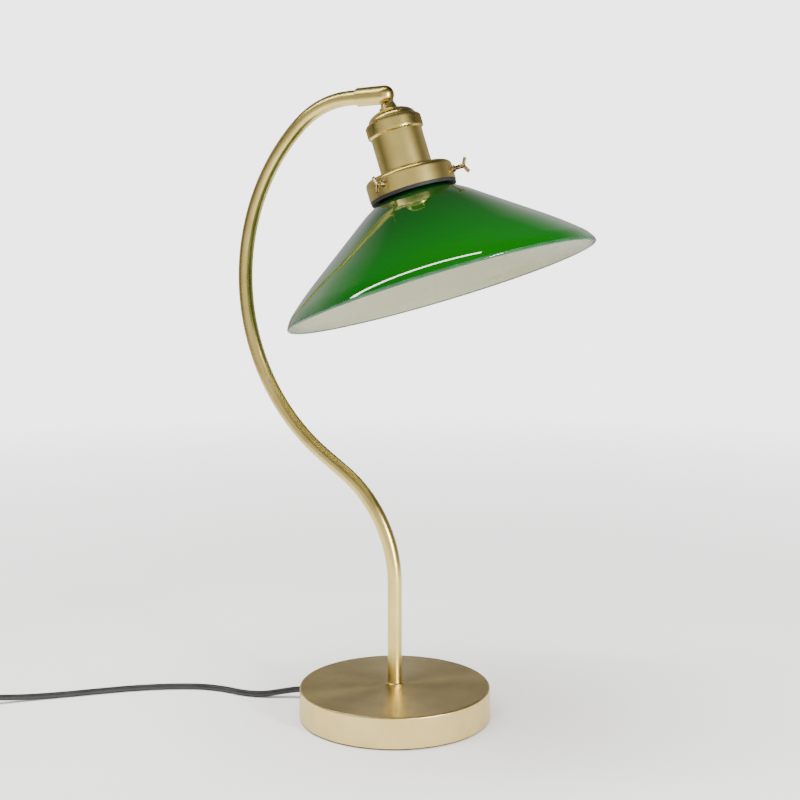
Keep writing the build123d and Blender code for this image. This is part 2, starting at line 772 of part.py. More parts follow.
def shade_wall(inset):
    """Points of the shade's side at a depth inside its outer face, from the neck to the rim."""
    rim = (shade_rim_radius, shade_rim_station)
    cone_foot = Vector(*cone_start) + cone_normal * inset
    return [
        cone_foot,
        Vector(*cone_end) + cone_normal * inset,
        toward((upper_middle.X, upper_middle.Y), upper_centre, inset),
        toward(shoulder_end, upper_centre, inset),
        toward((lower_middle.X, lower_middle.Y), lower_centre, inset),
        toward(rim, lower_centre, inset),
    ]


def side_line(start, wall):
    """The side from a start point down to the rim: cone, wide arc and tight arc."""
    Line(start, wall[1])
    ThreePointArc(wall[1], wall[2], wall[3])
    ThreePointArc(wall[3], wall[4], wall[5])


fitter_foot = (fitter_radius, cone_start[1] - 1.7)
outer_wall = shade_wall(0)
layer_wall = shade_wall(casing_thickness)
inner_wall = shade_wall(glass_thickness)
layer_neck = (fitter_radius - casing_thickness, fitter_foot[1] + 1.2)
inner_neck = (fitter_radius - glass_thickness, fitter_foot[1] + 2.6)

with BuildPart() as shade_casing:
    with BuildSketch(head_side):
        with BuildLine():
            Line(fitter_foot, outer_wall[0])
            side_line(outer_wall[0], outer_wall)
            Line(outer_wall[5], layer_wall[5])
            side_line(layer_neck, layer_wall)
            Polyline(
                layer_neck,
                (layer_neck[0], fitter_top),
                (fitter_radius + fitter_lip, fitter_top),
                (fitter_radius + fitter_lip, fitter_top + fitter_lip_height),
                (fitter_radius, fitter_top + fitter_lip_height + 0.8),
                fitter_foot,
            )
        make_face()
    revolve(axis=head_axis)
keep("shade_casing", shade_casing)

with BuildPart() as shade_lining:
    with BuildSketch(head_side):
        with BuildLine():
            side_line(layer_neck, layer_wall)
            Line(layer_wall[5], inner_wall[5])
            side_line(inner_neck, inner_wall)
            Polyline(inner_neck, (inner_neck[0], fitter_top), (layer_neck[0], fitter_top), layer_neck)
        make_face()
    revolve(axis=head_axis)
keep("shade_lining", shade_lining)

rim_middle = (outer_wall[5] + inner_wall[5]) / 2
rim_along = Vector(lower_heading.X, lower_heading.Y).normalized()
rim_peak = rim_middle + rim_along * glass_thickness / 2
with BuildPart() as shade_rim:
    with BuildSketch(head_side):
        with BuildLine():
            rim_arc = ThreePointArc(outer_wall[5], rim_peak, inner_wall[5])
            Line(rim_arc @ 1, rim_arc @ 0)
        make_face()
    revolve(axis=head_axis)
keep("shade_rim", shade_rim)

# ---------------------------------------------------------------- free cord
# Hand-picked points along the cord's middle line, from the base to the switch.
cord_run_out = [
    (-82.0, 0.0, cord_exit_height),
    (-94.5, -3.0, 8.0),
    (-108.0, -9.5, 5.3),
    (-121.5, -18.0, 3.0),
    (-138.5, -23.6, cord_rest),
    (-159.5, -23.0, cord_rest),
    (-179.5, -27.0, cord_rest),
    (-198.5, -36.5, cord_rest),
    (-216.5, -48.8, cord_rest),
    (-233.5, -63.0, cord_rest),
    (-249.0, -78.5, cord_rest),
    (-264.0, -94.5, cord_rest),
    (-281.0, -112.0, cord_rest),
    (-299.0, -131.0, 3.6),
    (-315.5, -149.5, 6.2),
    (-331.0, -167.0, switch_height / 2),
]
# From the switch to the coil; the first point is the tip of the switch's second relief.
cord_run_in = [
    (-413.2, -251.7, 6.4),
    (-427.0, -259.9, 4.6),
    (-442.9, -261.3, 2.9),
    (-457.9, -254.4, cord_rest),
    (-468.7, -241.9, cord_rest),
    (-475.6, -226.8, 2.9),
    (-480.3, -212.2, 3.6),
]


def cord_radii(points):
    """The largest tangent arc that each corner's two runs allow."""
    radii = []
    for before, corner, after in zip(points, points[1:], points[2:]):
        run_in = Vector(*corner) - Vector(*before)
        run_out = Vector(*after) - Vector(*corner)
        half_turn = math.radians(run_in.get_angle(run_out) / 2)
        radii.append(0.45 * min(run_in.length, run_out.length) / math.tan(half_turn))
    return radii


def cord_solid(points):
    """A round tube of cord along straight runs joined by tangent arcs."""
    radii = cord_radii(points)
    with BuildLine() as middle_line:
        FilletPolyline(*points, radius=radii)
    with BuildPart() as tube:
        with BuildSketch(Plane(origin=points[0], z_dir=Vector(*points[1]) - Vector(*points[0]))):
            Circle(cord_radius)
        sweep(path=middle_line.wires()[0])
    length = middle_line.wires()[0].length
    ratio = tube.part.volume / (math.pi * cord_radius**2 * length)
    print("cord run", round(length, 1), "radii", [round(radius) for radius in radii])
    print("volume over section times length", round(ratio, 4))
    return tube, length


def flat_heading(degrees):
    """A level unit vector at an angle from +X."""
    return Vector(math.cos(math.radians(degrees)), math.sin(math.radians(degrees)), 0)


switch_along = flat_heading(switch_heading)
switch_span = switch_length + 2 * relief_length
switch_start = Vector(*cord_run_out[-1])
switch_end = switch_start + switch_along * switch_span
switch_middle = switch_start + switch_along * (switch_span / 2)
switch_floor = Plane(origin=(switch_middle.X, switch_middle.Y, 0), x_dir=switch_along, z_dir=(0, 0, 1))
print("switch ends at", round(switch_end.X, 1), round(switch_end.Y, 1))

cord_to_switch, run_out_length = cord_solid(cord_run_out)
keep("cord_to_switch", cord_to_switch)
cord_to_coil, run_in_length = cord_solid([tuple(switch_end)] + cord_run_in)
keep("cord_to_coil", cord_to_coil)

# The coil lies beside the switch. It is wound outwards in, then outwards again a layer up.
coil_heading = switch_heading - 90
coil_offset = 62.0
coil_middle = switch_end + flat_heading(coil_heading) * coil_offset
coil_floor = Plane(origin=(coil_middle.X, coil_middle.Y, coil_lift), x_dir=switch_along, z_dir=(0, 0, 1))
coil_inner = coil_middle_radius - coil_pitch * (coil_columns - 1) / 2
coil_outer = coil_middle_radius + coil_pitch * (coil_columns - 1) / 2
coil_height = cord_diameter + coil_pitch * (coil_layers - 1)
coil_leave = 60.0             # angle past a whole turn at which the tail leaves the coil
with BuildPart() as cord_coil:
    with BuildSketch(coil_floor):
        Circle(coil_outer + cord_radius)
        Circle(coil_inner - cord_radius, mode=Mode.SUBTRACT)
    extrude(amount=coil_height)
    fillet(cord_coil.edges(), cord_radius - 0.2)
keep("cord_coil", cord_coil)

tail_heading = switch_heading - coil_leave - 90
tail_start = coil_middle + flat_heading(switch_heading - coil_leave) * coil_outer
tail_start = Vector(tail_start.X, tail_start.Y, coil_lift + cord_radius + coil_pitch)
tail_length = 34.0
tail_run = [
    tuple(tail_start),
    tuple(tail_start + flat_heading(tail_heading) * tail_length * 0.5 + Vector(0, 0, -1.1)),
    tuple(Vector(tail_start.X, tail_start.Y, plug_height / 2) + flat_heading(tail_heading) * tail_length),
]
cord_tail, tail_cord_length = cord_solid(tail_run)
keep("cord_tail", cord_tail)

tie_side = Plane(origin=(coil_middle.X, coil_middle.Y, 0), x_dir=flat_heading(switch_heading + 150),
                 z_dir=flat_heading(switch_heading + 60))
tie_across = coil_outer - coil_inner + cord_diameter + 0.3
with BuildPart() as coil_tie:
    with BuildSketch(tie_side):
        with Locations(((coil_inner + coil_outer) / 2, coil_lift + coil_height / 2)):
            RectangleRounded(tie_across + 2 * tie_thickness, coil_height + 0.2 + 2 * tie_thickness, 3.0)
            RectangleRounded(tie_across, coil_height + 0.2, 2.4, mode=Mode.SUBTRACT)
    extrude(amount=tie_width / 2, both=True)
keep("coil_tie", coil_tie)

# ---------------------------------------------------------------- switch on the cord
half_height = switch_height / 2
corner_round = 8.0
inside_length = switch_length - 2 * switch_wall
inside_width = switch_width - 2 * switch_wall
boss_radius = 3.4
boss_along = inside_length / 2 - 8.0
boss_across = inside_width / 2 - boss_radius + 0.6
boss_spots = [(boss_along, boss_across), (-boss_along, -boss_across)]
case_screw_radius = 1.3
case_screw_head = 2.7
window_length = 22.0
window_width = 13.0
rocker_axis_height = switch_height - 3.6
rocker_tilt = 8.0
rocker_pin_radius = 1.0
cheek_gap = 0.5
cheek_wall = 3.0
cheek_middle = window_width / 2 + cheek_gap + cheek_wall / 2
rocker_pin_reach = window_width / 2 + cheek_gap + 2.0
rocker_place = (switch_middle.X, switch_middle.Y, rocker_axis_height)

with BuildPart() as switch_base:
    with BuildSketch(switch_floor):
        RectangleRounded(switch_length, switch_width, corner_round)
    extrude(amount=half_height - fit_gap)
    fillet(switch_base.edges().group_by(Axis.Z)[0], 1.5)
    with BuildSketch(switch_floor.offset(switch_wall)):
        RectangleRounded(inside_length, inside_width, corner_round - switch_wall)
        with Locations(*boss_spots):
            Circle(boss_radius, mode=Mode.SUBTRACT)
    extrude(amount=half_height, mode=Mode.SUBTRACT)
    with BuildSketch(switch_floor):
        with Locations(*boss_spots):
            Circle(case_screw_head + 0.2)
    extrude(amount=2.4, mode=Mode.SUBTRACT)
    with BuildSketch(switch_floor):
        with Locations(*boss_spots):
            Circle(case_screw_radius + 0.3)
    extrude(amount=half_height, mode=Mode.SUBTRACT)
keep("switch_base", switch_base)

with BuildPart() as switch_cover:
    with BuildSketch(switch_floor.offset(half_height)):
        RectangleRounded(switch_length, switch_width, corner_round)
    extrude(amount=half_height)
    fillet(switch_cover.edges().group_by(Axis.Z)[-1], 3.0)
    with BuildSketch(switch_floor.offset(half_height)):
        RectangleRounded(inside_length, inside_width, corner_round - switch_wall)
        with Locations(*boss_spots):
            Circle(boss_radius, mode=Mode.SUBTRACT)
        with Locations((0, cheek_middle), (0, -cheek_middle)):
            Rectangle(6, cheek_wall, mode=Mode.SUBTRACT)
    extrude(amount=half_height - switch_wall, mode=Mode.SUBTRACT)
    with BuildSketch(switch_floor.offset(half_height)):
        Rectangle(window_length, window_width)
    extrude(amount=half_height, mode=Mode.SUBTRACT)
    with BuildSketch(switch_floor.offset(half_height)):
        with Locations(*boss_spots):
            Circle(case_screw_radius + fit_gap)
    extrude(amount=3.6, mode=Mode.SUBTRACT)
    with BuildSketch(Plane(origin=rocker_place, z_dir=switch_floor.y_dir)):
        Circle(rocker_pin_radius + running_gap)
    extrude(amount=rocker_pin_reach + 0.2, both=True, mode=Mode.SUBTRACT)
keep("switch_cover", switch_cover)

rocker_half_length = window_length / 2 - 0.6
rocker_half_width = window_width / 2 - 0.4
rocker_lean = math.radians(rocker_tilt)
rocker_along = switch_along * math.cos(rocker_lean) - Vector(0, 0, math.sin(rocker_lean))
rocker_side = Plane(origin=rocker_place, x_dir=rocker_along, z_dir=-switch_floor.y_dir)
with BuildPart() as switch_rocker:
    with BuildSketch(rocker_side):
        outline([
            (-rocker_half_length, -1.6),
            (-rocker_half_length, 3.4),
            (0, 5.0),
            (rocker_half_length, 3.4),
            (rocker_half_length, -1.6),
            (3, -3.2),
            (-3, -3.2),
        ])
    extrude(amount=rocker_half_width, both=True)
    with BuildSketch(rocker_side):
        Circle(rocker_pin_radius)
    extrude(amount=rocker_pin_reach, both=True)
keep("switch_rocker", switch_rocker)

with BuildPart() as switch_screws:
    with BuildSketch(switch_floor.offset(0.4)):
        with Locations(*boss_spots):
            Circle(case_screw_head)
    extrude(amount=1.9)
    with BuildSketch(switch_floor.offset(0.4)):
        with Locations(*boss_spots):
            Circle(case_screw_radius)
    extrude(amount=half_height + 2.4)
    with BuildSketch(switch_floor.offset(0.4)):
        with Locations(*boss_spots):
            Rectangle(3.6, 0.7)
            Rectangle(0.7, 3.6)
    extrude(amount=0.9, mode=Mode.SUBTRACT)
keep("switch_screws", switch_screws)

relief_tip_radius = cord_radius + 0.8
relief_root_radius = cord_radius + 2.6
with BuildPart() as switch_reliefs:
    for hand in (-1, 1):
        outward = switch_along * hand
        root = switch_floor.from_local_coords((hand * (switch_length / 2 + fit_gap), 0, half_height))
        with BuildSketch(Plane(origin=root, z_dir=outward)):
            Circle(relief_root_radius)
        with BuildSketch(Plane(origin=root + outward * (relief_length - fit_gap), z_dir=outward)):
            Circle(relief_tip_radius)
        loft()
keep("switch_reliefs", switch_reliefs)

with BuildPart() as switch_contacts:
    with BuildSketch(switch_floor.offset(switch_wall + fit_gap)):
        with GridLocations(24, 0, 2, 1):
            Rectangle(8, 7)
    extrude(amount=3.4)
keep("switch_contacts", switch_contacts)

# ---------------------------------------------------------------- plug
plug_along = flat_heading(tail_heading)
plug_tip = Vector(*tail_run[-1])
plug_relief = 30.0
plug_back = plug_tip + plug_along * plug_relief
plug_plan = Plane(origin=(plug_back.X, plug_back.Y, 0), x_dir=plug_along, z_dir=(0, 0, 1))
sleeve_length = 10.0
sleeve_wall = 0.5
pin_root = 5.0
plug_shoulder = 16.2
plug_face = Plane(
    origin=plug_plan.from_local_coords((plug_length, 0, plug_height / 2)), x_dir=(0, 0, 1), z_dir=plug_along
)

with BuildPart() as plug_body:
    with BuildSketch(plug_plan):
        outline([
            (0, -6.5), (8, -7.5), (plug_shoulder, -plug_width / 2), (plug_length, -plug_width / 2),
            (plug_length, plug_width / 2), (plug_shoulder, plug_width / 2), (8, 7.5), (0, 6.5),
        ])
    extrude(amount=plug_height)
    fillet(plug_body.edges().filter_by(Axis.Z), 2.4)
    fillet(plug_body.edges().group_by(Axis.Z)[-1], 1.8)
    fillet(plug_body.edges().group_by(Axis.Z)[0], 1.8)
    with BuildSketch(Plane(origin=plug_back + plug_along * 3, z_dir=-plug_along)):
        Circle(relief_root_radius + 0.6)
    with BuildSketch(Plane(origin=plug_tip, z_dir=-plug_along)):
        Circle(relief_tip_radius)
    loft()
    with BuildSketch(plug_face):
        with GridLocations(0, pin_spacing, 1, 2):
            Circle(pin_diameter / 2 + fit_gap)
    extrude(amount=-pin_root - 1, mode=Mode.SUBTRACT)
keep("plug_body", plug_body)

with BuildPart() as pin_sleeves:
    with BuildSketch(plug_face.offset(-pin_root)):
        with GridLocations(0, pin_spacing, 1, 2):
            Circle(pin_diameter / 2)
            Circle(pin_diameter / 2 - sleeve_wall, mode=Mode.SUBTRACT)
    extrude(amount=sleeve_length + pin_root)
keep("pin_sleeves", pin_sleeves)

with BuildPart() as plug_pins:
    with BuildSketch(plug_face.offset(-pin_root)):
        with GridLocations(0, pin_spacing, 1, 2):
            Circle(pin_diameter / 2 - sleeve_wall - fit_gap)
    extrude(amount=sleeve_length + pin_root + 2)
    with BuildSketch(plug_face.offset(sleeve_length + fit_gap)):
        with GridLocations(0, pin_spacing, 1, 2):
            Circle(pin_diameter / 2)
    extrude(amount=pin_length - sleeve_length)
    fillet(plug_pins.edges().filter_by(GeomType.CIRCLE).sort_by(Axis(plug_back, plug_along))[-2:], 1.6)
keep("plug_pins", plug_pins)

turns_length = 2 * math.pi * coil_middle_radius * coil_columns * coil_layers
leave_length = math.radians(coil_leave) * coil_outer
whole_cord = run_out_length + switch_span + run_in_length + turns_length + leave_length + tail_cord_length
print("coil middle", round(coil_middle.X, 1), round(coil_middle.Y, 1))
print("cord from the base to the plug", round(whole_cord), "mm")

# ---------------------------------------------------------------- files
os.makedirs("parts", exist_ok=True)
for node, piece in pieces.items():
    export_step(piece, "parts/" + node + ".step")
print(len(pieces), "nodes written")
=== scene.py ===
# %% [markdown]
# # A banker desk lamp, finished around its working model
# The working model already holds every part of the lamp at its true size, and the joints
# that let the head tilt. This script adds what the eye sees: spun brass, cased green glass,
# a knurled ring, threads and a cord that lies on the table. All lengths are in metres. The
# lamp stands on z = 0, its arm lies in the XZ plane and its head looks along +X.

# %% Load the working model
import math

import bpy
from mathutils import Matrix, Vector


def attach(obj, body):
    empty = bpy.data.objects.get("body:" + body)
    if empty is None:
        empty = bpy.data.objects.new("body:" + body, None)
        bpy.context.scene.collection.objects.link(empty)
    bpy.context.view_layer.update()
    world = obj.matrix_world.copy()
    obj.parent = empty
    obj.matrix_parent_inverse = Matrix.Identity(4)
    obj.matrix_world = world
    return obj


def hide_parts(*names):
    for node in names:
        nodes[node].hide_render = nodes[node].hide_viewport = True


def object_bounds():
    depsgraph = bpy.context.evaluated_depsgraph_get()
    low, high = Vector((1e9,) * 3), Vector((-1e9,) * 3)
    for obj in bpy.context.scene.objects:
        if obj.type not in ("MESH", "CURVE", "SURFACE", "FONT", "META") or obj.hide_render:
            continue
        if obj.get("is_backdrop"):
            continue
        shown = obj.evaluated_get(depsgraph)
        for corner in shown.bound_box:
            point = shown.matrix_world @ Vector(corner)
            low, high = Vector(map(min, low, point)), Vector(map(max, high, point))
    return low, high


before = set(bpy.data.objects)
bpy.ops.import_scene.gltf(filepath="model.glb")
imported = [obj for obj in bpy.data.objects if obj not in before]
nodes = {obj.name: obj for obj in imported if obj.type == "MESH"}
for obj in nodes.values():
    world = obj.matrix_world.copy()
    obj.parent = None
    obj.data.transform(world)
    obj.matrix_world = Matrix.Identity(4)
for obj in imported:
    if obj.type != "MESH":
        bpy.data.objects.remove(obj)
model_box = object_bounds()
MM = 0.001
print("model", len(nodes), "nodes")
for corner in model_box:
    print("box corner", [round(v, 3) for v in corner])

# %% [markdown]
# ## The camera
# A long lens, a little below the lamp's top, keeps the shade's ellipse slim and the base's
# round edge undistorted. The camera looks down by eight degrees, and the cord leaves the
# base to its left.

# %% Make the camera
camera_place = Vector((0.598, -1.040, 0.440))
camera_look = Vector((-0.4904, 0.8601, -0.1409))
camera_data = bpy.data.cameras.new("studio_camera")
camera_data.sensor_width = 36.0
camera_data.lens = 66.5
camera = bpy.data.objects.new("studio_camera", camera_data)
camera.location = camera_place
camera.rotation_euler = camera_look.to_track_quat("-Z", "Y").to_euler()
bpy.context.scene.collection.objects.link(camera)
bpy.context.scene.camera = camera
print("camera at", tuple(camera_place), "lens", camera_data.lens)

# %% [markdown]
# ## The cord's route
# A table lamp has about 1.8 m of round flex. It leaves the base through a rubber bush, sinks
# to the table, wanders away in loose curves and passes through an in-line switch. What is left
# is wound into a small coil, six turns in two layers, and ends in the plug. The cord is
# one NURBS line: its control points are the route's points, so it bends as softly
# as a real flex does. The coil's turns are worked out by a loop, because they repeat.

# %% Lay the cord's route
cord_diameter = 5.2 * MM
rest_height = 2.65
route_to_switch = [
    (-82.0, 0.0, 8.5), (-94.5, -3.0, 8.0), (-108.0, -9.5, 5.3), (-121.5, -18.0, 3.0),
    (-138.5, -23.6, rest_height), (-159.5, -23.0, rest_height), (-179.5, -27.0, rest_height),
    (-198.5, -36.5, rest_height), (-216.5, -48.8, rest_height), (-233.5, -63.0, rest_height),
    (-249.0, -78.5, rest_height), (-264.0, -94.5, rest_height), (-281.0, -112.0, rest_height),
    (-299.0, -131.0, 3.6), (-315.5, -149.5, 6.2), (-331.0, -167.0, 7.0),
]
route_to_coil = [
    (-401.9, -240.4, 7.0), (-413.2, -251.7, 6.4), (-427.0, -259.9, 4.6), (-442.9, -261.3, 2.9),
    (-457.9, -254.4, rest_height), (-468.7, -241.9, rest_height), (-475.6, -226.8, 2.9),
    (-480.3, -212.2, 3.6),
]
coil_middle = (-446.5, -197.3)
coil_radii = [36.3, 31.0, 25.7, 25.7, 31.0, 36.3]
coil_heights = [3.6, 3.6, 3.6, 8.9, 8.9, 8.9]
coil_start_angle = 226.0
coil_joins = 45.0
coil_leaves = 60.0
points_per_turn = 16
crossing = 90.0


def coil_point(turned):
    """The cord's place when the coil has turned by an angle, in degrees."""
    turn = min(int(turned // 360), len(coil_radii) - 1)
    following = min(turn + 1, len(coil_radii) - 1)
    share = max(0.0, (turned % 360 - (360 - crossing)) / crossing)
    if turned >= 360 * len(coil_radii):
        share = 0.0
    share = share * share * (3 - 2 * share)
    spline_pull = 1 / math.cos(math.pi / points_per_turn) ** 2
    radius = (coil_radii[turn] * (1 - share) + coil_radii[following] * share) * spline_pull
    height = coil_heights[turn] * (1 - share) + coil_heights[following] * share
    angle = math.radians(coil_start_angle - turned)
    return (coil_middle[0] + radius * math.cos(angle), coil_middle[1] + radius * math.sin(angle), height)


coil_end = 360 * len(coil_radii) + coil_leaves
coil_steps = int((coil_end - coil_joins) / (360 / points_per_turn))
coil_stride = (coil_end - coil_joins) / coil_steps
route_coil = [coil_point(coil_joins + step * coil_stride) for step in range(coil_steps + 1)]
tail_bearing = math.radians(76)
tail_direction = Vector((math.cos(tail_bearing), math.sin(tail_bearing), 0))
tail_reach = 17.0
tail_dip = 1.1
tail_first = Vector(route_coil[-1]) + tail_direction * tail_reach - Vector((0, 0, tail_dip))
route_tail = [tuple(tail_first), (-473.5, -155.5, 7.0)]
route = [Vector(point) * MM for point in route_to_switch + route_to_coil + route_coil + route_tail]
print("route of", len(route), "points")

# %% Draw the cord
cord_line = bpy.data.curves.new("flex_cord", "CURVE")
cord_line.dimensions = "3D"
spline = cord_line.splines.new("NURBS")
spline.points.add(len(route) - 1)
for point, place in zip(spline.points, route):
    point.co = (*place, 1.0)
    point.radius = cord_diameter / 2
spline.order_u = 3
spline.use_endpoint_u = True
spline.resolution_u = 8
cord_line.bevel_depth = 1.0
cord_line.bevel_resolution = 5
cord_line.use_fill_caps = True
flex_cord = bpy.data.objects.new("flex_cord", cord_line)
bpy.context.scene.collection.objects.link(flex_cord)
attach(flex_cord, "stand")
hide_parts("cord_to_switch", "cord_to_coil", "cord_coil", "cord_tail")
print("cord drawn,", cord_diameter, "m thick")

# %% [markdown]
# ## Working helpers
# Every tool in this lesson acts on what is selected, so each piece starts from an empty
# selection. Turned parts are the most common on a lamp. They are drawn as half an outline,
# one point after another, and then spun round the axis, just as a lathe or a
# spinning tool makes them.

# %% Helpers for starting and closing a piece
def start_clean():
    """Leaves edit mode and deselects everything."""
    if bpy.context.object is not None and bpy.context.object.mode != "OBJECT":
        bpy.ops.object.mode_set(mode="OBJECT")
    bpy.ops.object.select_all(action="DESELECT")


def pick(piece):
    """Selects one piece alone and makes it the active one."""
    start_clean()
    piece.select_set(True)
    bpy.context.view_layer.objects.active = piece


def close_up(piece, smooth_angle=40.0):
    """Merges doubles, turns the faces outwards and smooths what is rounder than an angle."""
    bpy.ops.object.mode_set(mode="EDIT")
    bpy.ops.mesh.select_all(action="SELECT")
    bpy.ops.mesh.remove_doubles(threshold=0.000002)
    bpy.ops.mesh.normals_make_consistent(inside=False)
    bpy.ops.object.mode_set(mode="OBJECT")
    bpy.ops.object.shade_smooth_by_angle(angle=math.radians(smooth_angle))
    print(piece.name, "has", len(piece.data.polygons), "faces")


def draw_outline(name, outline):
    """Draws (radius, height) points in millimetres as a line in the XZ plane, left in edit mode."""
    start_clean()
    bpy.ops.mesh.primitive_plane_add(size=MM)
    piece = bpy.context.object
    piece.name = name
    piece.data.name = name
    bpy.ops.object.mode_set(mode="EDIT")
    bpy.ops.mesh.select_all(action="SELECT")
    bpy.ops.mesh.merge(type="CENTER")
    bpy.ops.transform.translate(value=(outline[0][0] * MM, 0, outline[0][1] * MM))
    for before, after in zip(outline, outline[1:]):
        step = ((after[0] - before[0]) * MM, 0, (after[1] - before[1]) * MM)
        bpy.ops.mesh.extrude_region_move(TRANSFORM_OT_translate={"value": step})
    return piece


def spin_outline(name, outline, steps=128, smooth_angle=40.0):
    """Turns a closed outline of (radius, height) points into a piece round the Z axis."""
    piece = draw_outline(name, outline)
    bpy.ops.mesh.select_all(action="SELECT")
    bpy.ops.mesh.spin(steps=steps, angle=math.tau, center=(0, 0, 0), axis=(0, 0, 1))
    bpy.ops.object.mode_set(mode="OBJECT")
    close_up(piece, smooth_angle)
    return piece


def set_down(piece, matrix):
    """Moves a finished piece to its place and freezes that place into its mesh."""
    pick(piece)
    piece.matrix_world = matrix
    bpy.ops.object.transform_apply(location=True, rotation=True, scale=True)


def fit_on(piece, body, slot, *replaced):
    """Fastens a piece to a body and lets it stand for parts of the model; slot is not used."""
    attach(piece, body)
    if replaced:
        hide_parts(*replaced)


# %% [markdown]
# ## The head's own frame
# Cap, ring, shell, gallery and shade are all turned round one axis, which leans from
# straight down by 18.9 degrees. They are modelled upright and then set down
# in that frame. A *station* is a distance below the hinge along the axis.

# %% The head's frame
hinge = Vector((-8.96, 0.0, 515.18)) * MM
head_tilt = math.radians(18.9)
head_down = Vector((math.sin(head_tilt), 0.0, -math.cos(head_tilt)))
head_out = Vector((math.cos(head_tilt), 0.0, math.sin(head_tilt)))
head_frame = Matrix.Translation(hinge) @ Matrix.Rotation(-head_tilt, 4, "Y")
print("head axis", tuple(round(v, 4) for v in head_down))


def stations(points):
    """Turns (radius, station) points into (radius, height) points."""
    return [(radius, -station) for radius, station in points]


def bend(centre, radius, first, last, count):
    """Points along an arc, both ends in, with angles in degrees."""
    angles = [math.radians(first + (last - first) * step / count) for step in range(count + 1)]
    return [(centre[0] + radius * math.cos(a), centre[1] + radius * math.sin(a)) for a in angles]


# %% [markdown]
# ## The glass shade
# The shade is mouth-blown cased glass: a thin green layer over a thicker opal one, so the
# outside is deep and glossy while the inside stays a warm white. The flat cone swells
# gently towards the rim and then turns down in a tight curve, which catches a long bright streak.
# The outline is a straight line and two arcs that meet smoothly, spun in fine steps so that
# no facet shows on the silhouette.

# %% The shade's outline
glass_thickness = 3.4
casing_thickness = 1.4
cone_start = Vector((33.0, 83.9))
cone_heading = Vector((1.36, 1.0)).normalized()
cone_end = cone_start + cone_heading * ((95.4 - cone_start.x) / cone_heading.x)
shoulder_end = Vector((120.65, 150.4))
rim_end = Vector((127.4, 159.6))
fitter_radius = 28.5
fitter_top = 67.0
lip_reach = 2.0               # the bead round the fitter's top that the screws hold
lip_round = 0.5
lip_underside = 2.8
throat_rise = 2.4             # the soft bend from the fitter into the cone
throat_round = 1.9


def arc_between(start, heading, end):
    """Centre, radius and end heading of the arc that leaves start along heading and reaches end."""
    chord = end - start
    side = Vector((-heading.y, heading.x))
    curve = 2 * chord.dot(side) / chord.length_squared
    centre = start + side / curve
    last = (end - centre) * math.copysign(1, curve)
    return centre, 1 / curve, Vector((-last.y, last.x)).normalized()


wide_centre, wide_radius, wide_heading = arc_between(cone_end, cone_heading, shoulder_end)
tight_centre, tight_radius, _ = arc_between(shoulder_end, wide_heading, rim_end)


def along_arc(centre, start, end, inset, count):
    """Points of an arc about a centre from start to end, moved inwards by an inset."""
    first = math.atan2(start.y - centre.y, start.x - centre.x)
    last = math.atan2(end.y - centre.y, end.x - centre.x)
    radius = (start - centre).length - inset
    angles = [first + (last - first) * step / count for step in range(count + 1)]
    return [(centre.x + radius * math.cos(a), centre.y + radius * math.sin(a)) for a in angles]


def shade_side(inset):
    """The shade's side from its neck to its rim at a depth inside the outer face."""
    inward = Vector((-cone_heading.y, cone_heading.x)) * inset
    cone = [tuple(cone_start.lerp(cone_end, share / 6) + inward) for share in range(6)]
    wide = along_arc(wide_centre, cone_end, shoulder_end, inset, 18)
    tight = along_arc(tight_centre, shoulder_end, rim_end, inset, 10)
    return cone + wide + tight[1:]


print("shade arcs", round(wide_radius, 1), round(tight_radius, 1), "mm")

# %% Spin the green casing, the opal lining and the rim bead
outer_side = shade_side(0.0)
layer_side = shade_side(casing_thickness)
inner_side = shade_side(glass_thickness)
layer_radius = fitter_radius - casing_thickness
inner_radius = fitter_radius - glass_thickness
lip_radius = fitter_radius + lip_reach
lip_foot = fitter_top + 4.1
green_casing = spin_outline("green_casing", stations(
    [(fitter_radius, lip_foot), (fitter_radius, cone_start.y - throat_rise)]
    + bend((fitter_radius + throat_round, cone_start.y - throat_rise), throat_round, 180, 126, 3)[1:]
    + outer_side[1:] + layer_side[::-1][:-1]
    + [(layer_radius, cone_start.y - 0.5), (layer_radius, fitter_top),
       (lip_radius - lip_round, fitter_top), (lip_radius, fitter_top + lip_round),
       (lip_radius, fitter_top + lip_underside), (lip_radius - lip_round, fitter_top + lip_underside + 0.7),
       (fitter_radius, lip_foot)]
), steps=192)
opal_lining = spin_outline("opal_lining", stations(
    [(layer_radius, fitter_top), (layer_radius, cone_start.y - 0.5)] + layer_side[1:]
    + inner_side[::-1][:-1]
    + [(inner_radius, cone_start.y + 0.9), (inner_radius, fitter_top), (layer_radius, fitter_top)]
), steps=192)
rim_outer = Vector(outer_side[-1])
rim_inner = Vector(inner_side[-1])
bead_middle = (rim_outer + rim_inner) / 2
bead_first = math.degrees(math.atan2(rim_outer.y - bead_middle.y, rim_outer.x - bead_middle.x))
rim_bead = spin_outline("rim_bead", stations(
    bend(bead_middle, glass_thickness / 2, bead_first, bead_first + 180, 10) + [tuple(rim_outer)]
), steps=192)
for piece, slot, replaced in (
    (green_casing, "glass_green", "shade_casing"),
    (opal_lining, "glass_opal", "shade_lining"),
    (rim_bead, "glass_clear", "shade_rim"),
):
    set_down(piece, head_frame)
    fit_on(piece, "head", slot, replaced)

# %% [markdown]
# ## The knurled ring
# The ring that holds the cap on the lampholder is knurled so that fingers can grip it. A
# knurling tool rolls two sets of crossing grooves, which leaves rows of small
# pyramids. Here the ring's band is spun as a fine grid, and every second point of the
# grid is fattened outwards like the squares of one colour on a chess board.

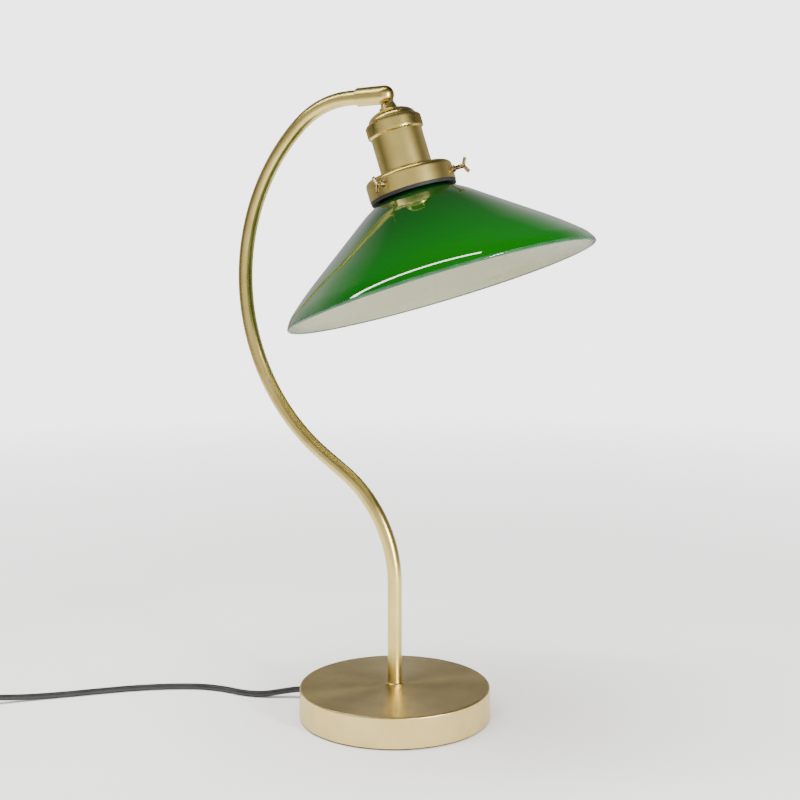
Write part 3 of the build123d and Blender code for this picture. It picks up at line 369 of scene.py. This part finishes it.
# %% Spin the ring and raise its knurl
ring_steps = 156
ring_top = 21.4
ring_bottom = 33.3
ring_chamfer = 1.2
ring_radius = 23.0
ring_bore = 19.9
knurl_rows = 10
knurl_depth = 0.60
knurl_radius = ring_radius - knurl_depth
band_top = ring_top + ring_chamfer
band_row = (ring_bottom - ring_chamfer - band_top) / knurl_rows
band = [(knurl_radius, band_top + band_row * row) for row in range(knurl_rows + 1)]
knurled_band = spin_outline("knurled_band", stations(
    [(ring_bore, ring_top), (knurl_radius - ring_chamfer, ring_top)] + band
    + [(knurl_radius - ring_chamfer, ring_bottom), (ring_bore, ring_bottom), (ring_bore, ring_top)]
), steps=ring_steps, smooth_angle=20.0)
for vertex in knurled_band.data.vertices:
    reach = math.hypot(vertex.co.x, vertex.co.y)
    row = (-vertex.co.z - band_top * MM) / (band_row * MM)
    column = round(math.atan2(vertex.co.y, vertex.co.x) / math.tau * ring_steps)
    on_band = reach > (knurl_radius - 0.05) * MM and 0.5 < row < knurl_rows - 0.5
    vertex.select = on_band and (column + round(row)) % 2 == 0
raised = sum(vertex.select for vertex in knurled_band.data.vertices)
for face in knurled_band.data.polygons:
    face.select = False
for edge in knurled_band.data.edges:
    edge.select = False
pick(knurled_band)
bpy.ops.object.mode_set(mode="EDIT")
bpy.context.tool_settings.mesh_select_mode = (True, False, False)
bpy.ops.transform.shrink_fatten(value=knurl_depth * MM)
bpy.ops.mesh.select_all(action="SELECT")
bpy.ops.mesh.quads_convert_to_tris(quad_method="SHORTEST_DIAGONAL")
bpy.ops.object.mode_set(mode="OBJECT")
set_down(knurled_band, head_frame)
fit_on(knurled_band, "head", "brass_satin", "knurled_ring")
print("knurl of", raised, "pyramids")

# %% [markdown]
# ## The thumb screws
# Three small screws press on the glass fitter's neck and hold the shade in the gallery. Each is a
# turned shank with a fine thread and two short wings that splay from its end. The shank is
# spun from a saw-toothed outline; each wing is a bar with its corners bevelled round.
# One screw is modelled, copied to its three places and then removed.

# %% Model one thumb screw along the Z axis
screw_station = 73.3 * MM
screw_azimuths = (23.0, 143.0, 263.0)
shank_radius = 1.95
shank_start = 28.8
wing_root = 44.0
wing_length = 5.4
wing_width = 3.0
wing_thickness = 2.1
wing_sweep = math.radians(62.0)
wing_bevel = 0.75
thread_pitch = 0.7
thread_depth = 0.28
thread_end = wing_root - 2.0


def screw_outline():
    """Half outline of the shank: a blunt point, a saw-toothed thread and a plain neck."""
    root = shank_radius - thread_depth
    neck = shank_radius - 0.1
    points = [(0.0, shank_start), (shank_radius - 0.6, shank_start), (root, shank_start + 0.5)]
    teeth = int((thread_end - shank_start - 0.7) / thread_pitch)
    for tooth in range(teeth):
        foot = shank_start + 0.6 + tooth * thread_pitch
        points += [(shank_radius, foot + thread_pitch / 2), (root, foot + thread_pitch)]
    points += [(neck, thread_end), (neck, wing_root + 0.6)]
    points += [(shank_radius - 0.9, wing_root + 1.5), (0.0, wing_root + 1.6), (0.0, shank_start)]
    return points


thumb_screw = spin_outline("wing_screw", screw_outline(), steps=32, smooth_angle=35.0)
wings = []
for hand in (-1, 1):
    start_clean()
    bpy.ops.mesh.primitive_cube_add(size=MM)
    wing = bpy.context.object
    bpy.ops.object.mode_set(mode="EDIT")
    bpy.ops.transform.resize(value=(wing_width, wing_thickness, wing_length + wing_width))
    bpy.ops.mesh.bevel(offset=wing_bevel * MM, segments=4, affect="EDGES")
    bpy.ops.object.mode_set(mode="OBJECT")
    lean = Matrix.Rotation(hand * wing_sweep, 4, "Y")
    reach = Vector((0, 0, wing_length / 2 * MM))
    set_down(wing, Matrix.Translation(Vector((0, 0, wing_root * MM)) + lean @ reach) @ lean)
    bpy.ops.object.shade_smooth_by_angle(angle=math.radians(40))
    wings.append(wing)
pick(thumb_screw)
for wing in wings:
    wing.select_set(True)
bpy.ops.object.join()
print("wing screw has", len(thumb_screw.data.polygons), "faces")

# %% Copy the screw to its three places
sideways = head_down.cross(head_out)
for number, azimuth in enumerate(screw_azimuths, start=1):
    pick(thumb_screw)
    bpy.ops.object.duplicate(linked=False)
    copy = bpy.context.object
    copy.name = "wing_screw_" + str(number)
    copy.data.name = copy.name
    angle = math.radians(azimuth)
    out = head_out * math.cos(angle) - sideways * math.sin(angle)
    place = Matrix((head_down, out.cross(head_down), out)).transposed().to_4x4()
    set_down(copy, Matrix.Translation(hinge + head_down * screw_station) @ place)
    fit_on(copy, "screw_" + str(number), "brass_satin", "thumb_screw_" + str(number))
bpy.data.objects.remove(thumb_screw)
print("three wing screws placed")

# %% [markdown]
# ## The lamp's screw shell
# The bulb's cap screws into a shell of thin brass with a rolled thread of 3.62 mm pitch.
# Rolling leaves a soft wave, inside and out. One wave is drawn, the Screw modifier carries it
# round and down, and Solidify gives it the sheet's thickness.

# %% Roll the screw shell
bulb_pitch = 3.62
bulb_turns = 6
wave_middle = 13.25
wave_height = 0.42
sheet_thickness = 0.3
sleeve_top = 72.0
wave_steps = 12
wave = [
    (wave_middle + wave_height * math.cos(math.tau * step / wave_steps), bulb_pitch * step / wave_steps)
    for step in range(wave_steps + 1)
]
screw_sleeve = draw_outline("screw_sleeve", wave)
bpy.ops.object.mode_set(mode="OBJECT")
rolling = screw_sleeve.modifiers.new("rolling", "SCREW")
rolling.axis = "Z"
rolling.angle = math.tau
rolling.screw_offset = bulb_pitch * MM
rolling.iterations = bulb_turns - 1
rolling.steps = 64
rolling.render_steps = 64
rolling.use_merge_vertices = True
rolling.merge_threshold = 0.00001
bpy.ops.object.modifier_apply(modifier="rolling")
close_up(screw_sleeve, 60.0)
sheet_metal = screw_sleeve.modifiers.new("sheet_metal", "SOLIDIFY")
sheet_metal.thickness = sheet_thickness * MM
sheet_metal.offset = 0.0
bpy.ops.object.modifier_apply(modifier="sheet_metal")
bpy.ops.object.shade_smooth_by_angle(angle=math.radians(60))
set_down(screw_sleeve, head_frame @ Matrix.Translation((0, 0, -sleeve_top * MM)))
fit_on(screw_sleeve, "head", "brass_bright", "screw_shell")

# %% [markdown]
# ## The finishes
# Each finish is built from nodes that read the object's own coordinates, so it stays
# put when the head tilts. Colour drifts a little over centimetres. On metal, rubber and
# plastic, roughness and bump change over tenths of a millimetre, and on blown glass over
# centimetres. No surface is one flat value. The first cell holds the small tools that
# every finish uses.

# %% Tools for building a finish
def new_finish(name):
    """A new material, its node tree and its surface shader."""
    material = bpy.data.materials.new(name)
    material.use_nodes = True
    shader = material.node_tree.nodes["Principled BSDF"]
    return material, material.node_tree, shader


def add(tree, kind, **settings):
    """Adds a node and sets its properties."""
    node = tree.nodes.new(kind)
    for key, value in settings.items():
        setattr(node, key, value)
    return node


def wire(tree, output, target):
    """Joins an output socket to an input socket."""
    tree.links.new(output, target)


def vector_math(tree, operation, first, second=None):
    """A vector calculation on sockets or constant vectors."""
    node = add(tree, "ShaderNodeVectorMath", operation=operation)
    for slot, value in zip(node.inputs, (first, second)):
        if value is None:
            continue
        if isinstance(value, (tuple, list, Vector)):
            slot.default_value = tuple(value)
        else:
            wire(tree, value, slot)
    return node


def object_point(tree):
    """The object coordinates of the point being shaded."""
    return add(tree, "ShaderNodeTexCoord").outputs["Object"]


def noise(tree, point, scale, detail=3.0, roughness=0.55):
    """Noise at a scale per metre, as a value from 0 to 1."""
    node = add(tree, "ShaderNodeTexNoise")
    node.inputs["Scale"].default_value = scale
    node.inputs["Detail"].default_value = detail
    node.inputs["Roughness"].default_value = roughness
    wire(tree, point, node.inputs["Vector"])
    return node.outputs["Fac"]


def spread(tree, value, low, high, start=0.3, end=0.7):
    """Maps a value between start and end to the range low to high."""
    node = add(tree, "ShaderNodeMapRange")
    for name, number in (("From Min", start), ("From Max", end), ("To Min", low), ("To Max", high)):
        node.inputs[name].default_value = number
    wire(tree, value, node.inputs["Value"])
    return node.outputs["Result"]


def two_tone(tree, value, first, second, start=0.35, end=0.65):
    """Mixes two colours by a value."""
    ramp = add(tree, "ShaderNodeValToRGB")
    ramp.color_ramp.elements[0].position = start
    ramp.color_ramp.elements[1].position = end
    ramp.color_ramp.elements[0].color = (*first, 1)
    ramp.color_ramp.elements[1].color = (*second, 1)
    wire(tree, value, ramp.inputs["Fac"])
    return ramp.outputs["Color"]


def bump(tree, shader, height, distance, strength=1.0):
    """Raises the surface by a height value."""
    node = add(tree, "ShaderNodeBump")
    node.inputs["Strength"].default_value = strength
    node.inputs["Distance"].default_value = distance
    wire(tree, height, node.inputs["Height"])
    wire(tree, node.outputs["Normal"], shader.inputs["Normal"])


def turned_point(tree, centre, axis):
    """Distance from an axis and distance along it, as a vector, with the vector from the centre."""
    offset = vector_math(tree, "SUBTRACT", object_point(tree), centre).outputs["Vector"]
    along = vector_math(tree, "DOT_PRODUCT", offset, axis).outputs["Value"]
    on_axis = vector_math(tree, "SCALE", tuple(axis))
    wire(tree, along, on_axis.inputs["Scale"])
    outward = vector_math(tree, "SUBTRACT", offset, on_axis.outputs["Vector"]).outputs["Vector"]
    reach = vector_math(tree, "LENGTH", outward).outputs["Value"]
    join = add(tree, "ShaderNodeCombineXYZ")
    wire(tree, reach, join.inputs["X"])
    wire(tree, along, join.inputs["Z"])
    return join.outputs["Vector"], offset


# %% [markdown]
# ### Satin brass
# The lamp is brushed brass under a clear lacquer. Where a piece was turned, fine lines run
# round its axis and stretch each highlight across them: that is anisotropy, with its
# tangent set round the axis. The tube was drawn and polished, so its grain is finer and
# its highlights simply follow its bends.

# %% Brass finishes
brass_pale = (0.70, 0.555, 0.185)
brass_deep = (0.58, 0.450, 0.135)


def brass(name, roughness, pale=brass_pale, deep=brass_deep, turned=None, anisotropy=0.0, grain=2600.0):
    """Brushed brass; turned is the (centre, axis) that its brushed lines run round."""
    material, tree, shader = new_finish(name)
    shader.inputs["Metallic"].default_value = 1.0
    shader.inputs["Anisotropic"].default_value = anisotropy
    shader.inputs["Coat Weight"].default_value = 0.06
    shader.inputs["Coat Roughness"].default_value = 0.18
    point = object_point(tree)
    drift = noise(tree, point, 38.0, detail=4.0)
    wire(tree, two_tone(tree, drift, deep, pale), shader.inputs["Base Color"])
    lines_point = point
    if turned is not None:
        lines_point, offset = turned_point(tree, *turned)
        round_axis = vector_math(tree, "CROSS_PRODUCT", tuple(turned[1]), offset)
        straight = vector_math(tree, "NORMALIZE", round_axis.outputs["Vector"])
        to_world = add(tree, "ShaderNodeVectorTransform", vector_type="VECTOR",
                       convert_from="OBJECT", convert_to="WORLD")
        wire(tree, straight.outputs["Vector"], to_world.inputs["Vector"])
        wire(tree, to_world.outputs["Vector"], shader.inputs["Tangent"])
    lines = noise(tree, lines_point, grain, detail=2.0)
    wire(tree, spread(tree, lines, roughness - 0.02, roughness + 0.03), shader.inputs["Roughness"])
    bump(tree, shader, lines, 0.000003, 0.35)
    return material


base_axis = (Vector((0, 0, 0)), Vector((0, 0, 1)))
head_axis = (hinge, head_down)
brass_base = brass("brass_spun_base", 0.30, (0.72, 0.56, 0.23), (0.62, 0.47, 0.18), base_axis, 0.82)
brass_head = brass("brass_spun_head", 0.30, turned=head_axis, anisotropy=0.35)
brass_tube = brass("brass_drawn_tube", 0.28, grain=3400.0)
brass_knurl = brass("brass_knurled", 0.26, grain=3000.0)
brass_small = brass("brass_small_parts", 0.24, (0.44, 0.33, 0.15), (0.34, 0.25, 0.11), grain=4000.0)
brass_bright = brass("brass_pressed", 0.16, pale=(0.80, 0.60, 0.28), deep=(0.68, 0.48, 0.20), grain=1800.0)
print("brass finishes ready")

# %% [markdown]
# ### Cased glass
# Green glass over opal reads as a deep, even colour below a hard gloss. The colour is
# painted darker near the neck, as painted shade below the gallery, and lighter towards the rim,
# with the faint cloudiness of blown glass. The opal inside is warm, even and only softly glossy.

# %% Glass finishes
def green_glass():
    """Green casing: colour by distance below the hinge, darker near the neck as painted shade, soft
    clouding, hard gloss.
    """
    material, tree, shader = new_finish("glass_green_cased")
    turned, _ = turned_point(tree, *head_axis)
    parts = add(tree, "ShaderNodeSeparateXYZ")
    wire(tree, turned, parts.inputs["Vector"])
    # painted shade: the green is darkest at the neck below the gallery and lightens towards the rim
    painted_neck_shade = spread(tree, parts.outputs["Z"], 0.0, 1.0, 0.080, 0.150)
    point = object_point(tree)
    cloud = noise(tree, point, 14.0, detail=2.0)
    mixed = add(tree, "ShaderNodeMath", operation="MULTIPLY_ADD")
    mixed.inputs[1].default_value = 0.18
    wire(tree, cloud, mixed.inputs[0])
    wire(tree, painted_neck_shade, mixed.inputs[2])
    wire(tree, two_tone(tree, mixed.outputs["Value"], (0.0, 0.008, 0.001), (0.0, 0.068, 0.001), 0.0, 1.1),
         shader.inputs["Base Color"])
    shader.inputs["IOR"].default_value = 1.52
    shader.inputs["Coat Weight"].default_value = 1.0
    shader.inputs["Coat Roughness"].default_value = 0.015
    shader.inputs["Coat IOR"].default_value = 1.6
    shader.inputs["Roughness"].default_value = 0.05
    ripple = noise(tree, point, 26.0, detail=1.0)
    bump(tree, shader, ripple, 0.00012, 0.25)
    return material


def opal_glass():
    """Opal lining: warm white with faint streaks from blowing."""
    material, tree, shader = new_finish("glass_opal_lining")
    point = object_point(tree)
    cloud = noise(tree, point, 22.0, detail=3.0)
    wire(tree, two_tone(tree, cloud, (0.30, 0.30, 0.20), (0.315, 0.315, 0.21)), shader.inputs["Base Color"])
    wire(tree, spread(tree, noise(tree, point, 60.0), 0.22, 0.30), shader.inputs["Roughness"])
    shader.inputs["IOR"].default_value = 1.5
    bump(tree, shader, noise(tree, point, 45.0, detail=1.0), 0.00003, 0.2)
    return material


def clear_bead():
    """The fire-polished rim: dark green glass that lets about half the light through."""
    material, tree, shader = new_finish("glass_rim_bead")
    point = object_point(tree)
    wire(tree, two_tone(tree, noise(tree, point, 60.0), (0.03, 0.14, 0.05), (0.05, 0.19, 0.07)),
         shader.inputs["Base Color"])
    shader.inputs["Transmission Weight"].default_value = 0.5
    shader.inputs["Roughness"].default_value = 0.06
    shader.inputs["IOR"].default_value = 1.5
    bump(tree, shader, noise(tree, point, 90.0, detail=1.0), 0.00005, 0.3)
    return material


glass_green = green_glass()
glass_opal = opal_glass()
glass_rim = clear_bead()
print("glass finishes ready")


# %% [markdown]
# ### Rubber, plastic, iron, porcelain and plated steel
# These share one recipe: two close tones, a roughness that varies and a fine bump. Foam
# and cast iron are coarse and dull, the cord's sheath is smooth with a soft sheen, moulded
# plastic has a spark-eroded grain, and glazed porcelain is wet-looking.

# %% The other finishes
def plain_finish(name, first, second, roughness, grain, depth, metallic=0.0, coat=0.0, drift=60.0):
    """A two-toned surface with a fine grain."""
    material, tree, shader = new_finish(name)
    point = object_point(tree)
    colour = two_tone(tree, noise(tree, point, drift, detail=4.0), first, second)
    wire(tree, colour, shader.inputs["Base Color"])
    speckle = noise(tree, point, grain, detail=2.0)
    wire(tree, spread(tree, speckle, roughness - 0.06, roughness + 0.08), shader.inputs["Roughness"])
    bump(tree, shader, speckle, depth, 0.7)
    shader.inputs["Metallic"].default_value = metallic
    shader.inputs["Coat Weight"].default_value = coat
    shader.inputs["Coat Roughness"].default_value = 0.08
    return material


cord_sheath = plain_finish(
    "cord_sheath", (0.009, 0.009, 0.010), (0.016, 0.016, 0.017),
    roughness=0.38, grain=1800.0, depth=0.00001)
rubber = plain_finish(
    "rubber_moulded", (0.010, 0.010, 0.010), (0.020, 0.019, 0.018),
    roughness=0.55, grain=2400.0, depth=0.00002)
foam = plain_finish(
    "foam_pad", (0.010, 0.010, 0.010), (0.026, 0.026, 0.026),
    roughness=0.88, grain=1500.0, depth=0.0002)
strap = plain_finish(
    "strap_woven", (0.012, 0.012, 0.012), (0.030, 0.030, 0.030),
    roughness=0.75, grain=1300.0, depth=0.0001)
black_plastic = plain_finish(
    "plastic_grained", (0.012, 0.012, 0.013), (0.019, 0.019, 0.020),
    roughness=0.36, grain=3200.0, depth=0.00002)
white_plastic = plain_finish(
    "plastic_nylon", (0.70, 0.70, 0.67), (0.78, 0.78, 0.75),
    roughness=0.48, grain=2200.0, depth=0.00001)
iron = plain_finish(
    "iron_painted", (0.018, 0.018, 0.019), (0.040, 0.039, 0.038),
    roughness=0.62, grain=900.0, depth=0.00015)
zinc = plain_finish(
    "steel_zinc_plated", (0.52, 0.54, 0.57), (0.66, 0.65, 0.60),
    roughness=0.30, grain=1600.0, depth=0.00001, metallic=1.0)
nickel = plain_finish(
    "nickel_plated", (0.64, 0.62, 0.58), (0.72, 0.70, 0.66),
    roughness=0.14, grain=2600.0, depth=0.000004, metallic=1.0)
glaze = plain_finish(
    "porcelain_glazed", (0.74, 0.72, 0.66), (0.82, 0.80, 0.74),
    roughness=0.20, grain=300.0, depth=0.00003, coat=0.7)
brown_core = plain_finish(
    "core_insulation", (0.16, 0.07, 0.03), (0.22, 0.10, 0.045),
    roughness=0.42, grain=1800.0, depth=0.00001)
print("other finishes ready")

# %% [markdown]
# ## Dress every part
# The working model's parts keep their shape and only take a finish. The new pieces
# take theirs the same way.

# %% Give each part its finish
finishes = {
    brass_base: ["base_cover", "foot_collar"],
    brass_head: ["holder_cap", "socket_shell", "gallery", "gallery_ring"],
    brass_tube: ["arm_tube", "knuckle", "hinge_pin"],
    brass_knurl: [knurled_band],
    brass_small: ["hinge_tongue", "neck_grub_screw", "screw_bushes",
                  "wing_screw_1", "wing_screw_2", "wing_screw_3"],
    brass_bright: [screw_sleeve, "centre_contact", "terminal_screws", "switch_contacts"],
    glass_green: [green_casing],
    glass_opal: [opal_lining],
    glass_rim: [rim_bead],
    cord_sheath: [flex_cord, "cord_inside"],
    rubber: ["cord_grommet", "shade_gasket", "switch_reliefs"],
    foam: ["base_pad"],
    strap: ["coil_tie"],
    black_plastic: ["switch_base", "switch_cover", "switch_rocker", "plug_body", "pin_sleeves"],
    white_plastic: ["cord_clamp"],
    iron: ["base_weight"],
    zinc: ["bottom_plate", "plate_screws", "foot_nipple", "lock_washer", "foot_nut", "clamp_screws",
           "stem_nut", "switch_screws"],
    nickel: ["plug_pins"],
    glaze: ["porcelain_insert"],
    brown_core: ["arm_leads", "head_leads"],
}
dressed = set()
for finish, pieces in finishes.items():
    for piece in pieces:
        thing = bpy.data.objects[piece] if isinstance(piece, str) else piece
        thing.data.materials.clear()
        thing.data.materials.append(finish)
        dressed.add(thing.name)
stood_for = {"shade_casing", "shade_lining", "shade_rim", "knurled_ring", "screw_shell", "thumb_screw_1",
             "thumb_screw_2", "thumb_screw_3", "cord_to_switch", "cord_to_coil", "cord_coil", "cord_tail"}
left_out = sorted(set(nodes) - dressed - stood_for)
print("dressed", len(dressed), "pieces; left out:", left_out)

# %% [markdown]
# ## The studio
# The lamp stands on a pale floor that fades out before its edge. The light tent round it
# is bright in front, dark at the sides, grey behind and dim overhead, which gives the brass
# its dark and light bands. One long, thin lamp overhead draws the streak on the glass and one
# tall strip at the right lights the edges. Two large wash lamps brighten the floor and the
# front, and are kept out of every mirror.

# %% Floor
start_clean()
floor_radius = 4.0
fade_starts = 0.5
fade_ends = 1.7
bpy.ops.mesh.primitive_circle_add(vertices=96, radius=floor_radius, fill_type="NGON", location=(0, 0, 0))
floor = bpy.context.object
floor.name = "studio_floor"
floor_material, tree, shader = new_finish("floor_pale")
floor_point = object_point(tree)
wire(tree, two_tone(tree, noise(tree, floor_point, 3.0), (0.86, 0.86, 0.86), (0.89, 0.89, 0.89)),
     shader.inputs["Base Color"])
shader.inputs["Roughness"].default_value = 0.75
shader.inputs["Specular IOR Level"].default_value = 0.2
reach = vector_math(tree, "LENGTH", floor_point).outputs["Value"]
fade = spread(tree, reach, 1.0, 0.0, fade_starts, fade_ends)
wire(tree, fade, shader.inputs["Alpha"])
floor.data.materials.append(floor_material)
floor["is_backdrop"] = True

# %% Light tent and lamps
world = bpy.data.worlds.new("light_tent")
bpy.context.scene.world = world
world.use_nodes = True
tree = world.node_tree
background = tree.nodes["Background"]
direction = add(tree, "ShaderNodeTexCoord").outputs["Generated"]
away_from_camera = Vector((-0.495, 0.868, 0.02)).normalized()
facing = vector_math(tree, "DOT_PRODUCT", direction, tuple(away_from_camera)).outputs["Value"]
tent = add(tree, "ShaderNodeValToRGB")
wire(tree, spread(tree, facing, 0.0, 1.0, -1.0, 1.0), tent.inputs["Fac"])
tent_tones = {
    0.08: (1.10, 1.08, 1.05),
    0.32: (0.52, 0.51, 0.49),
    0.50: (0.06, 0.06, 0.06),
    0.78: (0.50, 0.49, 0.48),
}
tent_places = list(tent_tones)
tent.color_ramp.elements[0].position = tent_places[0]
tent.color_ramp.elements[1].position = tent_places[1]
for place in tent_places[2:]:
    tent.color_ramp.elements.new(place)
for stop, tone in zip(tent.color_ramp.elements, tent_tones.values()):
    stop.color = (*tone, 1.0)
split = add(tree, "ShaderNodeSeparateXYZ")
wire(tree, direction, split.inputs["Vector"])
overhead = spread(tree, split.outputs["Z"], 1.0, 0.16, 0.30, 0.66)
shaded = vector_math(tree, "SCALE", tent.outputs["Color"])
wire(tree, overhead, shaded.inputs["Scale"])
backdrop_tone = (3.6, 3.6, 3.6)
rays = add(tree, "ShaderNodeLightPath")
backdrop = add(tree, "ShaderNodeMix", data_type="RGBA")
wire(tree, rays.outputs["Is Camera Ray"], backdrop.inputs["Factor"])
wire(tree, shaded.outputs["Vector"], backdrop.inputs["A"])
backdrop.inputs["B"].default_value = (*backdrop_tone, 1.0)
wire(tree, backdrop.outputs["Result"], background.inputs["Color"])
background.inputs["Strength"].default_value = 1.0
lamp_target = Vector((-0.03, 0.0, 0.28))
camera_right = Vector((0.87, 0.49, 0.0))


def softbox(name, place, width, height, power, mirrored=True):
    """A flat soft lamp facing the desk lamp, with its width laid along the camera's right."""
    data = bpy.data.lights.new(name, "AREA")
    data.shape = "RECTANGLE"
    data.size = width
    data.size_y = height
    data.energy = power
    data.color = (1.0, 0.985, 0.96)
    light = bpy.data.objects.new(name, data)
    away = (Vector(place) - lamp_target).normalized()
    side = (camera_right - away * camera_right.dot(away)).normalized()
    turn = Matrix((side, away.cross(side), away)).transposed()
    light.matrix_world = Matrix.Translation(place) @ turn.to_4x4()
    light.visible_glossy = mirrored
    bpy.context.scene.collection.objects.link(light)
    return light


softbox("streak_lamp", (-0.55, -0.50, 1.7), 2.1, 0.13, 18.0)
softbox("strip_right", (1.45, -0.50, 0.50), 0.16, 0.8, 34.0)
softbox("floor_wash", (0.0, -0.2, 2.6), 2.4, 2.4, 170.0, mirrored=False)
softbox("front_wash", (-0.6, -1.9, 1.3), 1.4, 1.4, 12.0, mirrored=False)
print("studio ready")

# %% [markdown]
# ## The finished size
# The finished lamp has to stay the size of its working model, so both boxes are printed.

# %% Print the finished size
finished_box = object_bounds()
for corner in finished_box:
    print("finished box corner", [round(v, 4) for v in corner])
